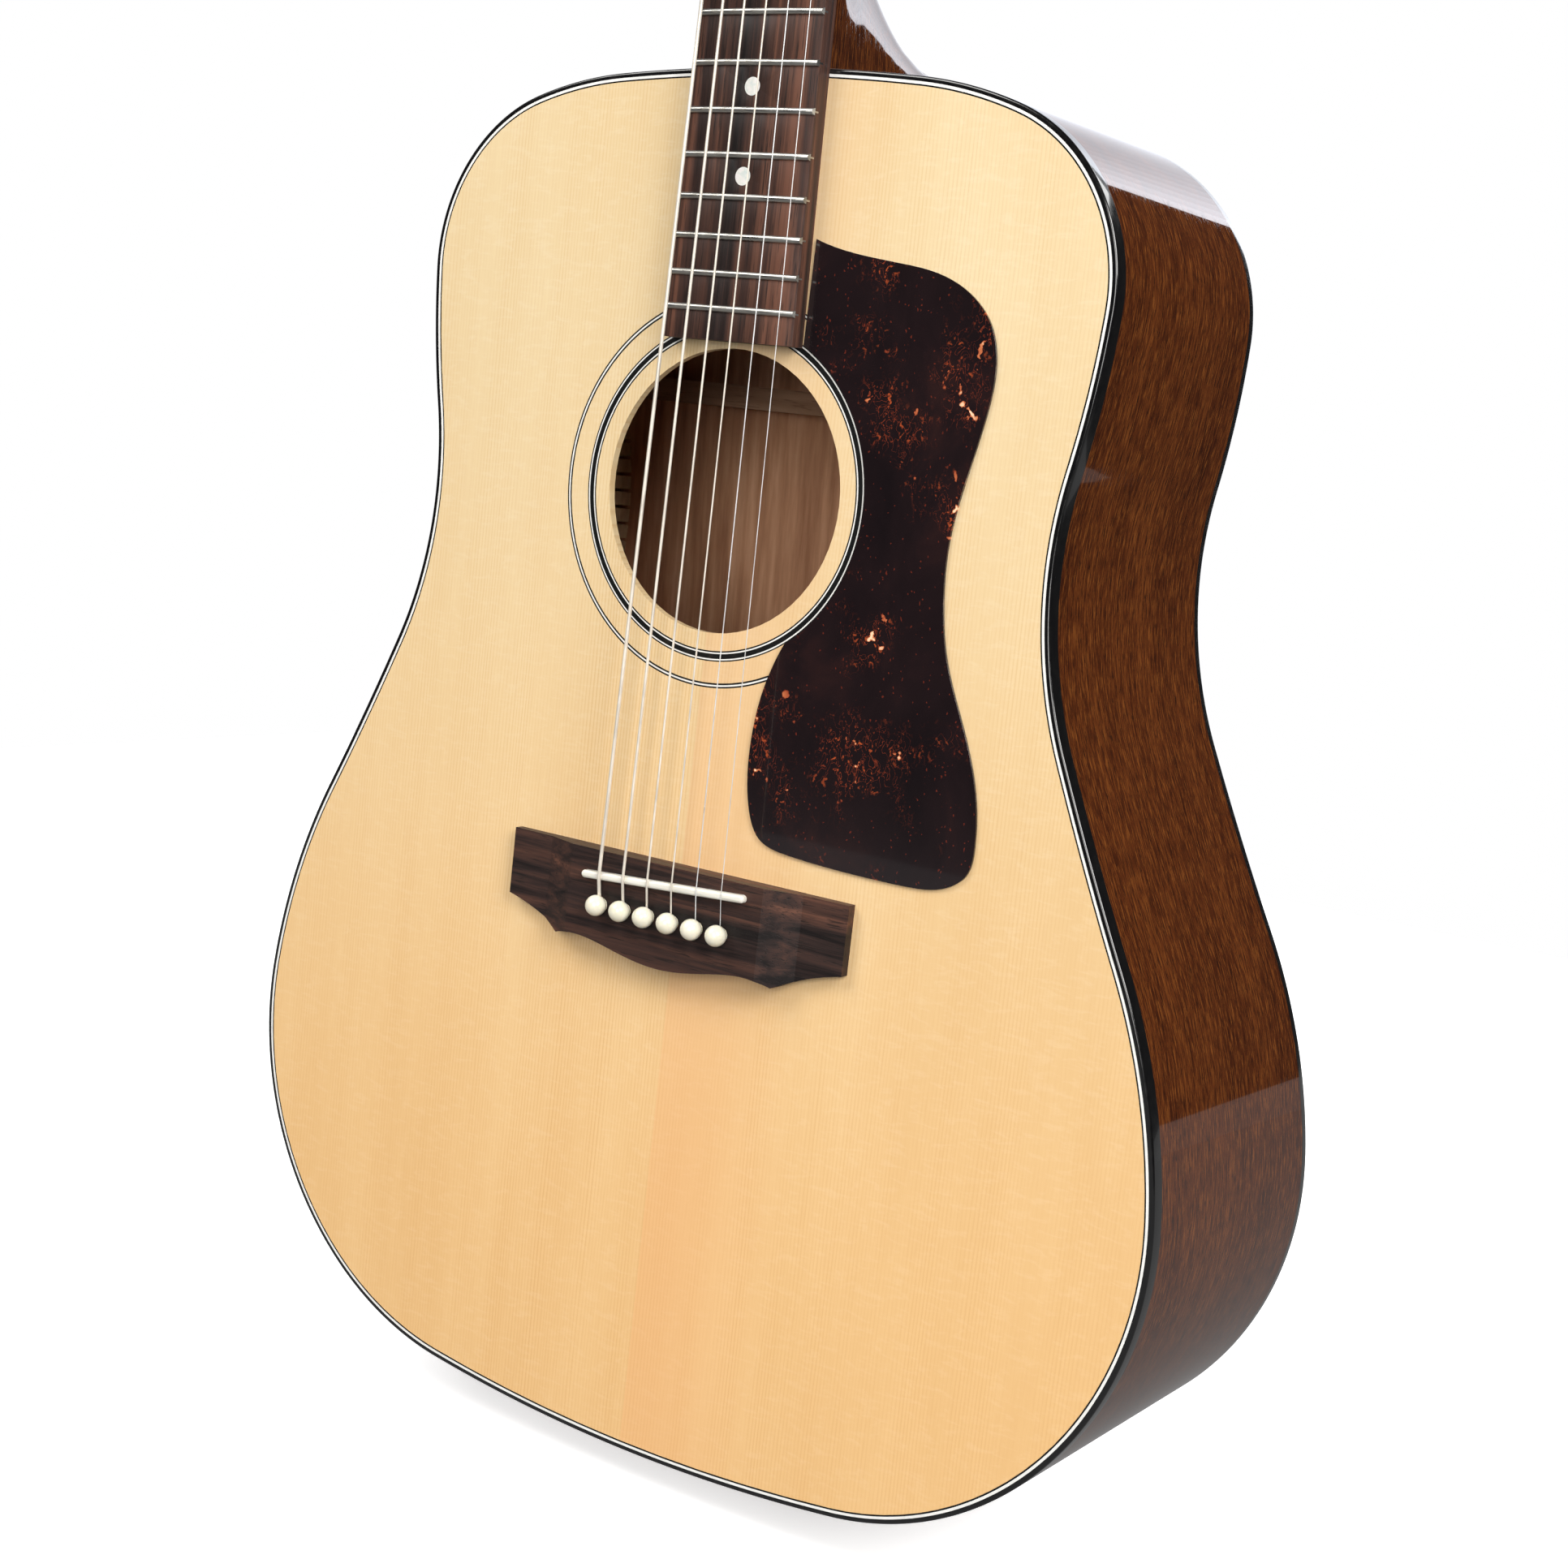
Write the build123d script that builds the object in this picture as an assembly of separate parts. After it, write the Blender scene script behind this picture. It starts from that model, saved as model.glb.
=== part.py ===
from build123d import *
import math
import os

# Steel-string acoustic guitar with a flat spruce top, a wide square-shouldered body and a glued neck.
# Z runs up the centre line to the headstock, the soundboard faces -Y and +X is the treble side.
# The origin is the middle of the strap button's outer face, the lowest point of the guitar.

# ---- Driving dimensions, in mm ----

# Scale and strings
scale_length = 650.9
body_fret = 14
fret_count = 20
string_gauges = [0.30, 0.41, 0.61, 0.81, 1.07, 1.35]
nut_string_spacing = 7.2
bridge_string_spacing = 11.0
action_at_nut = 0.5

# Body outline from the middle of the neck end round to the tail: arcs tangent to one another, each a
# radius and the degrees that the edge turns. A negative radius curves inwards. One more arc closes it.
outline_arcs = [
    (794.0, 4.60),
    (155.6, 14.88),
    (65.6, 73.70),
    (355.6, 8.45),
    (-155.0, 35.15),
    (-1282.0, 3.16),
    (231.0, 20.70),
    (128.6, 58.76),
    (122.8, 29.45),
]
depth_at_neck = 105.0
depth_at_tail = 140.0
top_thickness = 3.0
back_thickness = 2.6
side_thickness = 2.4
binding_width = 1.9
binding_height = 6.0
back_binding_height = 4.0
purfling_width = 1.5
purfling_depth = 1.8
lining_width = 6.0
lining_height = 14.0
neck_block_width = 76.0
neck_block_length = 45.0
end_block_width = 76.0
end_block_length = 20.0
end_graft_width = 9.0

# Sound hole and the rings inlaid round it: distance from the hole's edge and width
hole_radius = 50.8
hole_to_fingerboard = 2.0
rosette_inner_ring = (6.4, 3.8)
rosette_outer_ring = (18.0, 1.8)
rosette_depth = 1.2

# Braces: width and height, then where the free bars start and end. Tone bars are placed from the saddle
# line and finger braces from the crossing of the X, as x and z.
x_brace = (8.0, 15.0)
tone_bar = (7.0, 12.0)
finger_brace = (6.0, 8.0)
hole_brace = (10.0, 5.0)
upper_brace = (12.0, 18.0)
back_brace = (9.0, 14.0)
x_brace_angle = 48.0
x_below_hole = 37.0
brace_end_height = 4.0
brace_end_taper = 45.0
tone_bar_ends = [((105, -60), (-70, -125)), ((105, -112), (-30, -165))]
finger_brace_ends = [((68, -20), (122, 2)), ((100, -52), (146, -32))]
upper_brace_to_nut = 6.0
upper_brace_passage = 1.0
hole_brace_to_hole = 8.0
hole_brace_below = 8.0
hole_brace_to_upper = 4.0
back_brace_shares = (0.20, 0.38, 0.56, 0.78)
bridge_plate_thickness = 2.5
bridge_plate_reach = (2.0, 34.0)
bridge_plate_to_brace = 1.0
back_strip_width = 25.0
back_strip_thickness = 2.0

# Bridge, saddle and pins
bridge_half_length = 76.3
bridge_height = 9.2
bridge_wing_height = 4.4
bridge_top_edge = 5.0
bridge_corner = 20.4
bridge_tip = (49.5, 30.1)
bridge_cove = 0.62
bridge_shoulder = (38.1, 28.3)
bridge_flank = (22.3, 30.6)
bridge_belly = 33.5
bridge_scoop_inset = 6.0
bridge_scoop_length = 14.0
bridge_wing_fall = 0.6
saddle_half_length = 36.9
saddle_thickness = 3.0
saddle_height = 11.8
saddle_slot_depth = 4.5
saddle_setback = 2.4
saddle_slant = 3.57
saddle_round = 1.2
pin_row_setback = 15.0
pin_head_radius = 3.95
pin_head_rise = 3.4
pin_top_radius = 2.68
pin_tip_radius = 2.2
pin_shank = 21.0
pin_clearance = 0.05
pin_flute_width = 1.8
pin_flute_floor = 1.0
pin_flute_in_head = 2.6
pin_flat_lead = 0.2
string_slot_inset = 0.63
string_slot_clearance = 0.1
string_exit_height = 0.8
ball_radius = 2.0
ball_offset = 1.15

# Pickguard
guard_thickness = 1.0
guard_to_fingerboard = 1.0
guard_to_rosette = 0.3
guard_to_bridge = 10.5
guard_foot_angle = 34.8

# Fingerboard, frets and nut
nut_width = 42.9
fingerboard_taper = 0.0146
fingerboard_thickness = 7.3
fingerboard_camber = 406.4
fingerboard_overhang = 11.0
fret_crown = (2.3, 1.1)
fret_tang = (0.6, 2.0)
fret_end_bevel = (0.6, 1.3)
fret_overrun = 0.3
marker_frets = [5, 7, 9, 12, 15, 17]
marker_radius = 3.2
marker_depth = 1.5
octave_marker_spread = 24.0
side_marker_radius = 1.0
side_marker_depth = 2.0
nut_thickness = 4.8
nut_above_strings = 0.7
nut_round = 2.2
nut_bearing = 1.2

# Neck and heel
neck_depth_at_nut = 14.5
neck_depth_at_body = 17.0
heel_cap_thickness = 2.0
heel_foot = (14.0, 16.0)
heel_top = (27.0, 106.0)
heel_powers = (1.8, 2.0)
heel_start_depth = 2.0
heel_sections = 7
tenon_width = 20.0
tenon_flare = 27.0
tenon_length = 18.0
tenon_depth = 80.0

# Truss rod, reached through the sound hole
rod_radius = 3.0
rod_below_neck_face = 8.5
rod_end_radius = 2.5
rod_nut_radius = 4.6
rod_nut_length = 11.0
rod_nut_socket = 5.0
rod_nut_socket_depth = 4.0
rod_nut_gap = 1.5
rod_nut_thread = 6.2
rod_end_in_nut = 6.0
rod_to_nut = 14.0
rod_bore_past_end = 2.0
running_clearance = 0.05

# Headstock
head_angle = 14.0
head_length = 188.0
head_thickness = 14.0
head_half_width = (34.5, 37.5)
head_flare = 34.0
head_crown = 6.0
head_corner = (5.0, 1.2, 0.6)
head_crown_sag = 1.4
head_root_drop = 3.3
headplate_thickness = 1.6

# Machine heads
post_offset = 22.5
first_post = 44.0
post_spacing = 41.0
post_radius = 3.0
post_top = 12.5
post_round = 0.8
post_hole_radius = 0.85
post_clearance = 0.3
bushing_radius = 4.4
bushing_flange = (5.8, 1.3)
bushing_depth = 6.0
wheel_radius = 5.7
wheel_thickness = 4.0
wheel_teeth = 18
wheel_tooth_gap = 0.55
wheel_to_plate = 1.2
wheel_screw = (2.4, 1.4)
worm_radius = 2.6
worm_length = 9.0
worm_gap = 0.35
worm_thread = (2.0, 0.9, 0.7)
shaft_radius = 1.75
plate_width = 14.5
plate_thickness = 1.2
plate_round = 3.0
plate_past_screw = 4.0
lug_thickness = 1.6
lug_half_width = 3.4
lug_to_worm = 0.3
lug_past_shaft = 1.6
button_size = (13.0, 17.0, 6.4)
button_standoff = 3.0
button_round = 2.4
button_collar = (2.8, 2.4)
tuner_screw = (1.0, 2.2, 9.0)
tuner_screw_head = (1.2, 0.9)
tuner_screw_from_post = 11.5
tuner_screw_from_worm = 7.5
string_wrap_height = 8.5
string_wrap_gap = 0.15
string_wrap_turns = 3
string_bends = [1.6, 3.0, 3.0]

# Strap button
button_proud = 14.0
button_radius = 6.5
button_head_length = 4.6
button_waist_radius = 4.3
button_flare = 1.6
button_shank = (4.4, 25.0)

# ---- Positions that follow from them ----

FRONT = -depth_at_tail / 2
BODY_BOTTOM = button_proud


def arc_chain(inset):
    """Arc end points and middles down the treble side, for the outline moved in by inset."""
    x, z, heading = 0.0, -inset, 0.0
    arcs = []
    for radius, turn in outline_arcs:
        radius_in = radius - inset
        turn_to = heading + math.copysign(math.radians(turn), radius)
        centre = (x - radius_in * math.sin(heading), z - radius_in * math.cos(heading))
        points = [
            (centre[0] + radius_in * math.sin(a), centre[1] + radius_in * math.cos(a))
            for a in (heading, (heading + turn_to) / 2, turn_to)
        ]
        arcs.append(points)
        (x, z), heading = points[2], turn_to
    tail_radius = x / math.sin(math.pi - heading)
    centre_z = z - tail_radius * math.cos(heading)
    middle = (heading + math.pi) / 2
    arcs.append(
        [
            (x, z),
            (tail_radius * math.sin(middle), centre_z + tail_radius * math.cos(middle)),
            (0.0, centre_z - tail_radius),
        ]
    )
    return arcs


BODY_LENGTH = -arc_chain(0.0)[-1][2][1]
BODY_TOP = BODY_BOTTOM + BODY_LENGTH
SCALE_Z = BODY_TOP - scale_length * 2 ** (-body_fret / 12)
NUT_Z = SCALE_Z + scale_length
HEAD_Z = NUT_Z + nut_thickness


def fret_z(number):
    return SCALE_Z + scale_length * 2 ** (-number / 12)


def board_half_width(z):
    return nut_width / 2 + fingerboard_taper * (NUT_Z - z)


BOARD_END = fret_z(fret_count) - fingerboard_overhang
HOLE_Z = BOARD_END - hole_to_fingerboard - hole_radius
BRIDGE_TOP_Z = SCALE_Z + bridge_top_edge
PIN_Z = SCALE_Z - pin_row_setback
STRING_SLOT_Z = PIN_Z + pin_top_radius - string_slot_inset
PLATE_UNDERSIDE = FRONT + top_thickness + bridge_plate_thickness
BLOCK_FACE_Z = BODY_TOP - neck_block_length
BACK_SLOPE = (depth_at_tail - depth_at_neck) / BODY_LENGTH
INNER_INSET = side_thickness + lining_width
ROD_Y = FRONT + rod_below_neck_face
CAMBER_Y = FRONT - fingerboard_thickness
HEEL_DEPTH = depth_at_neck - heel_cap_thickness
FAR = 400.0

head_plane = Plane(
    origin=(0, FRONT, HEAD_Z),
    x_dir=(1, 0, 0),
    z_dir=(0, -math.cos(math.radians(head_angle)), math.sin(math.radians(head_angle))),
)


def back_y(z):
    return FRONT + depth_at_tail - BACK_SLOPE * (z - BODY_BOTTOM)


def string_x(number, spacing):
    return (3.5 - number) * spacing


def saddle_z(x):
    return SCALE_Z - saddle_setback + x * math.tan(math.radians(saddle_slant))


# ---- Shared shapes ----


def plate(face, y_front, y_back):
    """Solid between two depths from a face drawn with X across and Z up."""
    return extrude(Plane.XZ.offset(-y_back) * face, y_back - y_front, dir=(0, -1, 0))


def outline(inset=0.0):
    """Body outline, moved in by inset, as a face with X across and Z up."""
    treble = [ThreePointArc(*points) for points in arc_chain(inset)]
    bass = [mirror(edge, Plane.YZ) for edge in treble]
    return Pos(0, BODY_TOP) * make_face(treble + bass)


def ring(outer_inset, inner_inset):
    return outline(outer_inset) - outline(inner_inset)


def depth_slab(from_front, from_back):
    """Everything between a plane behind the front and a plane before the sloping back."""
    low, high = BODY_BOTTOM - 20, BODY_TOP + 20
    corners = [
        (FRONT + from_front, low),
        (FRONT + from_front, high),
        (back_y(high) - from_back, high),
        (back_y(low) - from_back, low),
    ]
    return extrude(Plane.YZ * make_face(Polyline(*corners, close=True)), FAR, both=True)


def body_solid(face, from_front, from_back):
    """A face of the body carried from just behind the top to just before the back."""
    return plate(face, FRONT - 1, FRONT + depth_at_tail + 1) & depth_slab(from_front, from_back)


def back_layer(face, thickness, from_back):
    """A layer of a given thickness that lies along the sloping back."""
    whole = plate(face, FRONT, FRONT + depth_at_tail + 1)
    nearer = depth_slab(-1, from_back)
    return (whole & nearer) - depth_slab(-2, from_back + thickness)


def box(x_range, y_range, z_range):
    size = [high - low for low, high in (x_range, y_range, z_range)]
    middle = [(high + low) / 2 for low, high in (x_range, y_range, z_range)]
    return Pos(*middle) * Box(*size)


def disc(x, z, radius, y_front, y_back):
    return plate(Pos(x, z) * Circle(radius), y_front, y_back)


def hole_ring(ring_place):
    """Inlaid ring, from its distance to the hole's edge and its width."""
    gap, width = ring_place
    inner = hole_radius + gap
    floor = FRONT + rosette_depth
    return disc(0, HOLE_Z, inner + width, FRONT, floor) - disc(0, HOLE_Z, inner, FRONT, floor)


def pin_taper(number, clearance):
    """Tapered bore or shank for one bridge pin, from the bridge's face inwards."""
    middle = FRONT - bridge_height + pin_shank / 2
    taper = Cone(pin_tip_radius + clearance, pin_top_radius + clearance, pin_shank)
    return Pos(string_x(number, bridge_string_spacing), middle, PIN_Z) * Rot(90, 0, 0) * taper


def pin_bores():
    """Tapered bores for the six pins, each with a slot towards the saddle for its string."""
    bores = []
    for number in range(1, 7):
        slot_radius = string_gauges[number - 1] / 2 + string_slot_clearance
        bore = pin_taper(number, pin_clearance)
        x = string_x(number, bridge_string_spacing)
        bore += disc(x, STRING_SLOT_Z, slot_radius, FRONT - bridge_height, FRONT - bridge_height + pin_shank)
        bores.append(bore)
    return Compound(bores)


def tenon():
    """Dovetail that locks the neck into the neck block."""
    half, flare = tenon_width / 2, tenon_flare / 2
    corners = [(-half, BODY_TOP + 1), (half, BODY_TOP + 1), (flare, BODY_TOP - tenon_length),
               (-flare, BODY_TOP - tenon_length)]
    return plate(make_face(Polyline(*corners, close=True)), FRONT, FRONT + tenon_depth)


def strap_button_bore():
    shank_radius, shank_length = button_shank
    return Pos(0, 0, BODY_BOTTOM + shank_length / 2 - 1) * Cylinder(shank_radius, shank_length + 2)


def rod_z_cylinder(radius, low, high):
    return Pos(0, ROD_Y, (low + high) / 2) * Cylinder(radius, high - low)


# ---- Body ----


def soundboard():
    board = plate(outline(binding_width), FRONT, FRONT + top_thickness)
    board -= purfling()
    board -= disc(0, HOLE_Z, hole_radius, FRONT - 1, FRONT + top_thickness + 1)
    board -= hole_ring(rosette_inner_ring)
    board -= hole_ring(rosette_outer_ring)
    board -= pin_bores()
    return board - tenon()


def purfling():
    line = plate(ring(binding_width, binding_width + purfling_width), FRONT, FRONT + purfling_depth)
    return line - tenon()


def front_binding_space():
    return plate(ring(0, binding_width), FRONT, FRONT + binding_height)


def back_binding():
    return back_layer(ring(0, binding_width), back_binding_height, 0)


def top_binding():
    return front_binding_space() - tenon()


def back():
    return back_layer(outline(binding_width), back_thickness, 0)


def side_shell():
    shell = body_solid(ring(0, side_thickness), top_thickness, back_thickness)
    return shell - front_binding_space() - back_binding()


def graft_space():
    half = end_graft_width / 2
    return box((-half, half), (-FAR, FAR), (BODY_BOTTOM - 5, BODY_BOTTOM + 15))


def side(sign):
    half = box((0, FAR) if sign > 0 else (-FAR, 0), (-FAR, FAR), (0, BODY_TOP + 10))
    return (side_shell() & half) - graft_space() - tenon()


def end_graft():
    return (side_shell() & graft_space()) - strap_button_bore()


def neck_block():
    half = neck_block_width / 2
    block = body_solid(outline(side_thickness), top_thickness, back_thickness)
    block &= box((-half, half), (-FAR, FAR), (BLOCK_FACE_Z, BODY_TOP))
    block -= tenon()
    return block - rod_z_cylinder(rod_radius + running_clearance, BLOCK_FACE_Z - 1, BODY_TOP)


def end_block():
    half = end_block_width / 2
    block = body_solid(outline(side_thickness), top_thickness, back_thickness)
    block &= box((-half, half), (-FAR, FAR), (BODY_BOTTOM, BODY_BOTTOM + end_block_length))
    return block - strap_button_bore()


def block_spaces():
    """Room that the linings leave for the two blocks."""
    neck_half, end_half = neck_block_width / 2, end_block_width / 2
    neck_end = box((-neck_half, neck_half), (-FAR, FAR), (BLOCK_FACE_Z, BODY_TOP + 1))
    tail_end = box((-end_half, end_half), (-FAR, FAR), (BODY_BOTTOM - 1, BODY_BOTTOM + end_block_length))
    return neck_end + tail_end


def top_lining():
    low, high = FRONT + top_thickness, FRONT + top_thickness + lining_height
    return plate(ring(side_thickness, INNER_INSET), low, high) - block_spaces()


def back_lining():
    lining = back_layer(ring(side_thickness, INNER_INSET), lining_height, back_thickness)
    return lining - block_spaces()


# ---- Bracing ----


def bar(start, end, section):
    """Straight brace on the inside of the top, its ends tapered down."""
    width, height = section
    length = math.dist(start, end)
    along = ((end[0] - start[0]) / length, 0, (end[1] - start[1]) / length)
    plane = Plane((start[0], FRONT + top_thickness, start[1]), x_dir=along, z_dir=(-along[2], 0, along[0]))
    taper = min(brace_end_taper, length / 3)
    end_height = min(brace_end_height, height / 2)
    side_view = [(0, 0), (length, 0), (length, end_height), (length - taper, height), (taper, height),
                 (0, end_height)]
    return extrude(plane * make_face(Polyline(*side_view, close=True)), width / 2, both=True)


X_CROSS_Z = HOLE_Z - hole_radius - x_below_hole
X_SLOPE = math.tan(math.radians(x_brace_angle))


def x_arm(sign):
    """One arm of the X, long enough to reach the linings on both sides."""
    up, down = BODY_TOP - X_CROSS_Z, X_CROSS_Z - BODY_BOTTOM
    arm = bar((-sign * up * X_SLOPE, BODY_TOP), (sign * down * X_SLOPE, BODY_BOTTOM), x_brace)
    return arm & inner_space()


def inner_space():
    return plate(outline(INNER_INSET), FRONT, FRONT + depth_at_neck / 2)


def soundboard_braces():
    arm_a, arm_b = x_arm(1), x_arm(-1)
    lap = arm_a & arm_b
    half_depth = FRONT + top_thickness + x_brace[1] / 2
    outer_half = lap & box((-FAR, FAR), (FRONT, half_depth), (0, BODY_TOP))
    arm_a, arm_b = arm_a - (lap - outer_half), arm_b - outer_half

    upper_z = BLOCK_FACE_Z - rod_nut_length - upper_brace[0] / 2 - upper_brace_to_nut
    upper = bar((-FAR, upper_z), (FAR, upper_z), upper_brace) & inner_space()
    upper -= rod_z_cylinder(rod_nut_radius + upper_brace_passage, HOLE_Z, BLOCK_FACE_Z)

    side_x = hole_radius + hole_brace[0] / 2 + hole_brace_to_hole
    low, high = HOLE_Z - hole_brace_below, upper_z - upper_brace[0] / 2 - hole_brace_to_upper
    beside_hole = [bar((s * side_x, low), (s * side_x, high), hole_brace) for s in (-1, 1)]

    free_space = inner_space() - end_block()
    bars = [
        bar((x0, SCALE_Z + z0), (x1, SCALE_Z + z1), tone_bar) & free_space
        for (x0, z0), (x1, z1) in tone_bar_ends
    ]
    for s in (-1, 1):
        for (x0, z0), (x1, z1) in finger_brace_ends:
            bars.append(bar((s * x0, X_CROSS_Z + z0), (s * x1, X_CROSS_Z + z1), finger_brace))
    return Compound([arm_a, arm_b, upper, *beside_hole, *bars])


def bridge_plate():
    """Hardwood patch under the bridge, its ends cut to the arms of the X."""
    high, low = SCALE_Z + bridge_plate_reach[0], SCALE_Z - bridge_plate_reach[1]
    arm_reach = x_brace[0] / 2 / math.cos(math.radians(x_brace_angle)) + bridge_plate_to_brace
    wide, narrow = [(X_CROSS_Z - z) * X_SLOPE - arm_reach for z in (low, high)]
    corners = [(-narrow, high), (narrow, high), (wide, low), (-wide, low)]
    inner = FRONT + top_thickness
    patch = plate(make_face(Polyline(*corners, close=True)), inner, inner + bridge_plate_thickness)
    return patch - pin_bores()


BACK_BRACE_Z = [BODY_BOTTOM + BODY_LENGTH * share for share in back_brace_shares]


def back_brace_at(z):
    """Brace across the back, trimmed to its slope and to the linings."""
    width, height = back_brace
    glue_face = back_y(z) - back_thickness
    reach = max(point[0] for points in arc_chain(INNER_INSET) for point in points)
    side_view = [
        (-reach, glue_face + 5), (reach, glue_face + 5), (reach, glue_face - brace_end_height),
        (reach - brace_end_taper, glue_face - height), (brace_end_taper - reach, glue_face - height),
        (-reach, glue_face - brace_end_height),
    ]
    face = Plane.XY.offset(z - width / 2) * make_face(Polyline(*side_view, close=True))
    return extrude(face, width, dir=(0, 0, 1)) & body_solid(outline(INNER_INSET), 0, back_thickness)


def back_braces():
    return Compound([back_brace_at(z) for z in BACK_BRACE_Z])


def back_strip():
    """Cross-grain strip over the back's centre seam, in lengths between the braces."""
    half = back_strip_width / 2
    low, high = BODY_BOTTOM + end_block_length, BLOCK_FACE_Z
    run = Rectangle(2 * half, high - low)
    strip = back_layer(Pos(0, (low + high) / 2) * run, back_strip_thickness, back_thickness)
    for z in BACK_BRACE_Z:
        strip -= box((-half - 1, half + 1), (-FAR, FAR), (z - back_brace[0] / 2, z + back_brace[0] / 2))
    return strip


# ---- On the top ----


def pickguard():
    """Thin plate that follows the rosette, runs beside the fingerboard and sweeps round to the bridge."""
    arc_radius = hole_radius + sum(rosette_inner_ring) + guard_to_rosette
    foot_angle = math.radians(guard_foot_angle)
    board_x = board_half_width(BOARD_END) + guard_to_fingerboard
    foot = HOLE_Z - BRIDGE_TOP_Z - guard_to_bridge
    arc_top = (board_x, math.sqrt(arc_radius**2 - board_x**2))
    arc_foot = (arc_radius * math.sin(foot_angle), -arc_radius * math.cos(foot_angle))
    below = [(27.3, 0.57), (25.3, 0.72), (27.2, 0.865), (33.5, 0.96), (46.0, 0.988), (70.8, 0.999),
             (96.0, 1.0), (111.0, 0.982), (119.0, 0.934), (120.8, 0.853), (118.5, 0.709), (110.5, 0.538),
             (101.5, 0.375), (97.2, 0.207)]
    above = [(96.7, -8.0), (100.0, 12.5), (105.2, 36.0), (106.5, 52.5), (102.5, 66.0), (93.0, 75.6),
             (79.8, 81.4), (64.7, 83.9), (45.5, 86.4), (board_x + 0.5, 90.4)]
    sweep_points = [arc_foot] + [(x, -share * foot) for x, share in below] + above
    edges = [
        ThreePointArc(arc_top, (arc_radius, 0), arc_foot),
        Spline(*sweep_points),
        Line(above[-1], arc_top),
    ]
    return plate(Pos(0, HOLE_Z) * make_face(edges), FRONT - guard_thickness, FRONT)


def bridge_outline():
    """Belly bridge: straight towards the neck, coved wings and a rounded belly towards the tail."""
    half, top, corner = bridge_half_length, bridge_top_edge, -bridge_corner
    tip = (bridge_tip[0], -bridge_tip[1])
    cove = ((half + tip[0]) / 2, bridge_cove * corner + (1 - bridge_cove) * tip[1])
    shoulder = (bridge_shoulder[0], -bridge_shoulder[1])
    flank = (bridge_flank[0], -bridge_flank[1])
    belly = (0.0, -bridge_belly)
    flip = lambda point: (-point[0], point[1])
    edges = [
        Line((-half, top), (half, top)),
        Line((half, top), (half, corner)),
        ThreePointArc((half, corner), cove, tip),
        Spline(tip, shoulder, flank, belly, flip(flank), flip(shoulder), flip(tip)),
        ThreePointArc(flip(tip), flip(cove), (-half, corner)),
        Line((-half, corner), (-half, top)),
    ]
    return Pos(0, SCALE_Z) * make_face(edges)


def bridge_blank():
    blank = plate(bridge_outline(), FRONT - bridge_height, FRONT)
    scoop_start = bridge_tip[0] - bridge_scoop_inset
    for sign in (-1, 1):
        side_view = [
            (sign * scoop_start, FRONT - bridge_height),
            (sign * (scoop_start + bridge_scoop_length), FRONT - bridge_wing_height),
            (sign * (bridge_half_length + 1), FRONT - bridge_wing_height + bridge_wing_fall),
            (sign * (bridge_half_length + 1), FRONT - bridge_height - 1),
            (sign * scoop_start, FRONT - bridge_height - 1),
        ]
        blank -= extrude(make_face(Polyline(*side_view, close=True)), BODY_TOP, dir=(0, 0, 1))
    return blank


def saddle_blank():
    """Bone strip set at a slant, with rounded ends and a rounded crown."""
    half = saddle_half_length - saddle_thickness / 2
    strip = SlotCenterToCenter(2 * half, saddle_thickness)
    strip = Pos(0, SCALE_Z - saddle_setback) * Rot(0, 0, saddle_slant) * strip
    blank = plate(strip, FRONT - saddle_height, FRONT - bridge_height + saddle_slot_depth)
    return fillet(blank.edges().group_by(Axis.Y)[0], saddle_round)


def bridge(strings):
    body = bridge_blank() - saddle_blank() - pin_bores()
    for string in strings:
        body -= string
    return body


def saddle(strings):
    strip = saddle_blank()
    for string in strings:
        strip -= string
    return strip


def bridge_pin(number):
    """Pin with a ball head and a tapered shank, fluted for its string and flat beside the ball end."""
    x = string_x(number, bridge_string_spacing)
    head_y = FRONT - bridge_height - pin_head_rise
    pin = pin_taper(number, 0) + Pos(x, head_y, PIN_Z) * Sphere(pin_head_radius)
    half = pin_flute_width / 2
    flute = box(
        (x - half, x + half),
        (FRONT - bridge_height - pin_flute_in_head, FRONT - bridge_height + pin_shank + 1),
        (PIN_Z + pin_flute_floor, PIN_Z + 2 * pin_head_radius),
    )
    flat = box(
        (x - pin_top_radius, x + pin_top_radius),
        (PLATE_UNDERSIDE - pin_flat_lead, FRONT - bridge_height + pin_shank + 1),
        (PIN_Z + pin_flute_floor, PIN_Z + 2 * pin_head_radius),
    )
    return pin - flute - flat


# ---- Neck and fingerboard ----


def neck_section(z, half_width, depth):
    """Flat face against the fingerboard and a rounded back, across the neck at height z."""
    curve = [
        (half_width * math.cos(a), FRONT + depth * math.sin(a))
        for a in (math.radians(degrees) for degrees in range(0, 181, 30))
    ]
    edges = [Line(curve[-1], curve[0]), Spline(*curve, tangents=[(0, 1), (0, -1)])]
    return Plane.XY.offset(z) * make_face(edges)


def heel_section(depth):
    """Cut through the heel parallel to the top: straight on the body, rounded towards the nut."""
    share = 1 - depth / HEEL_DEPTH
    width_power, length_power = heel_powers
    half_width = heel_foot[0] + (heel_top[0] - heel_foot[0]) * share**width_power
    length = heel_foot[1] + (heel_top[1] - heel_foot[1]) * share**length_power
    base = BODY_TOP - 3
    reach = length + 3
    curve = [
        (half_width * math.cos(a), base + reach * math.sin(a))
        for a in (math.radians(degrees) for degrees in range(0, 181, 30))
    ]
    return make_face([Line(curve[-1], curve[0]), Spline(*curve, tangents=[(0, 1), (0, -1)])])


def at_depth(face, depth):
    return Plane.XZ.offset(-(FRONT + depth)) * face


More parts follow.
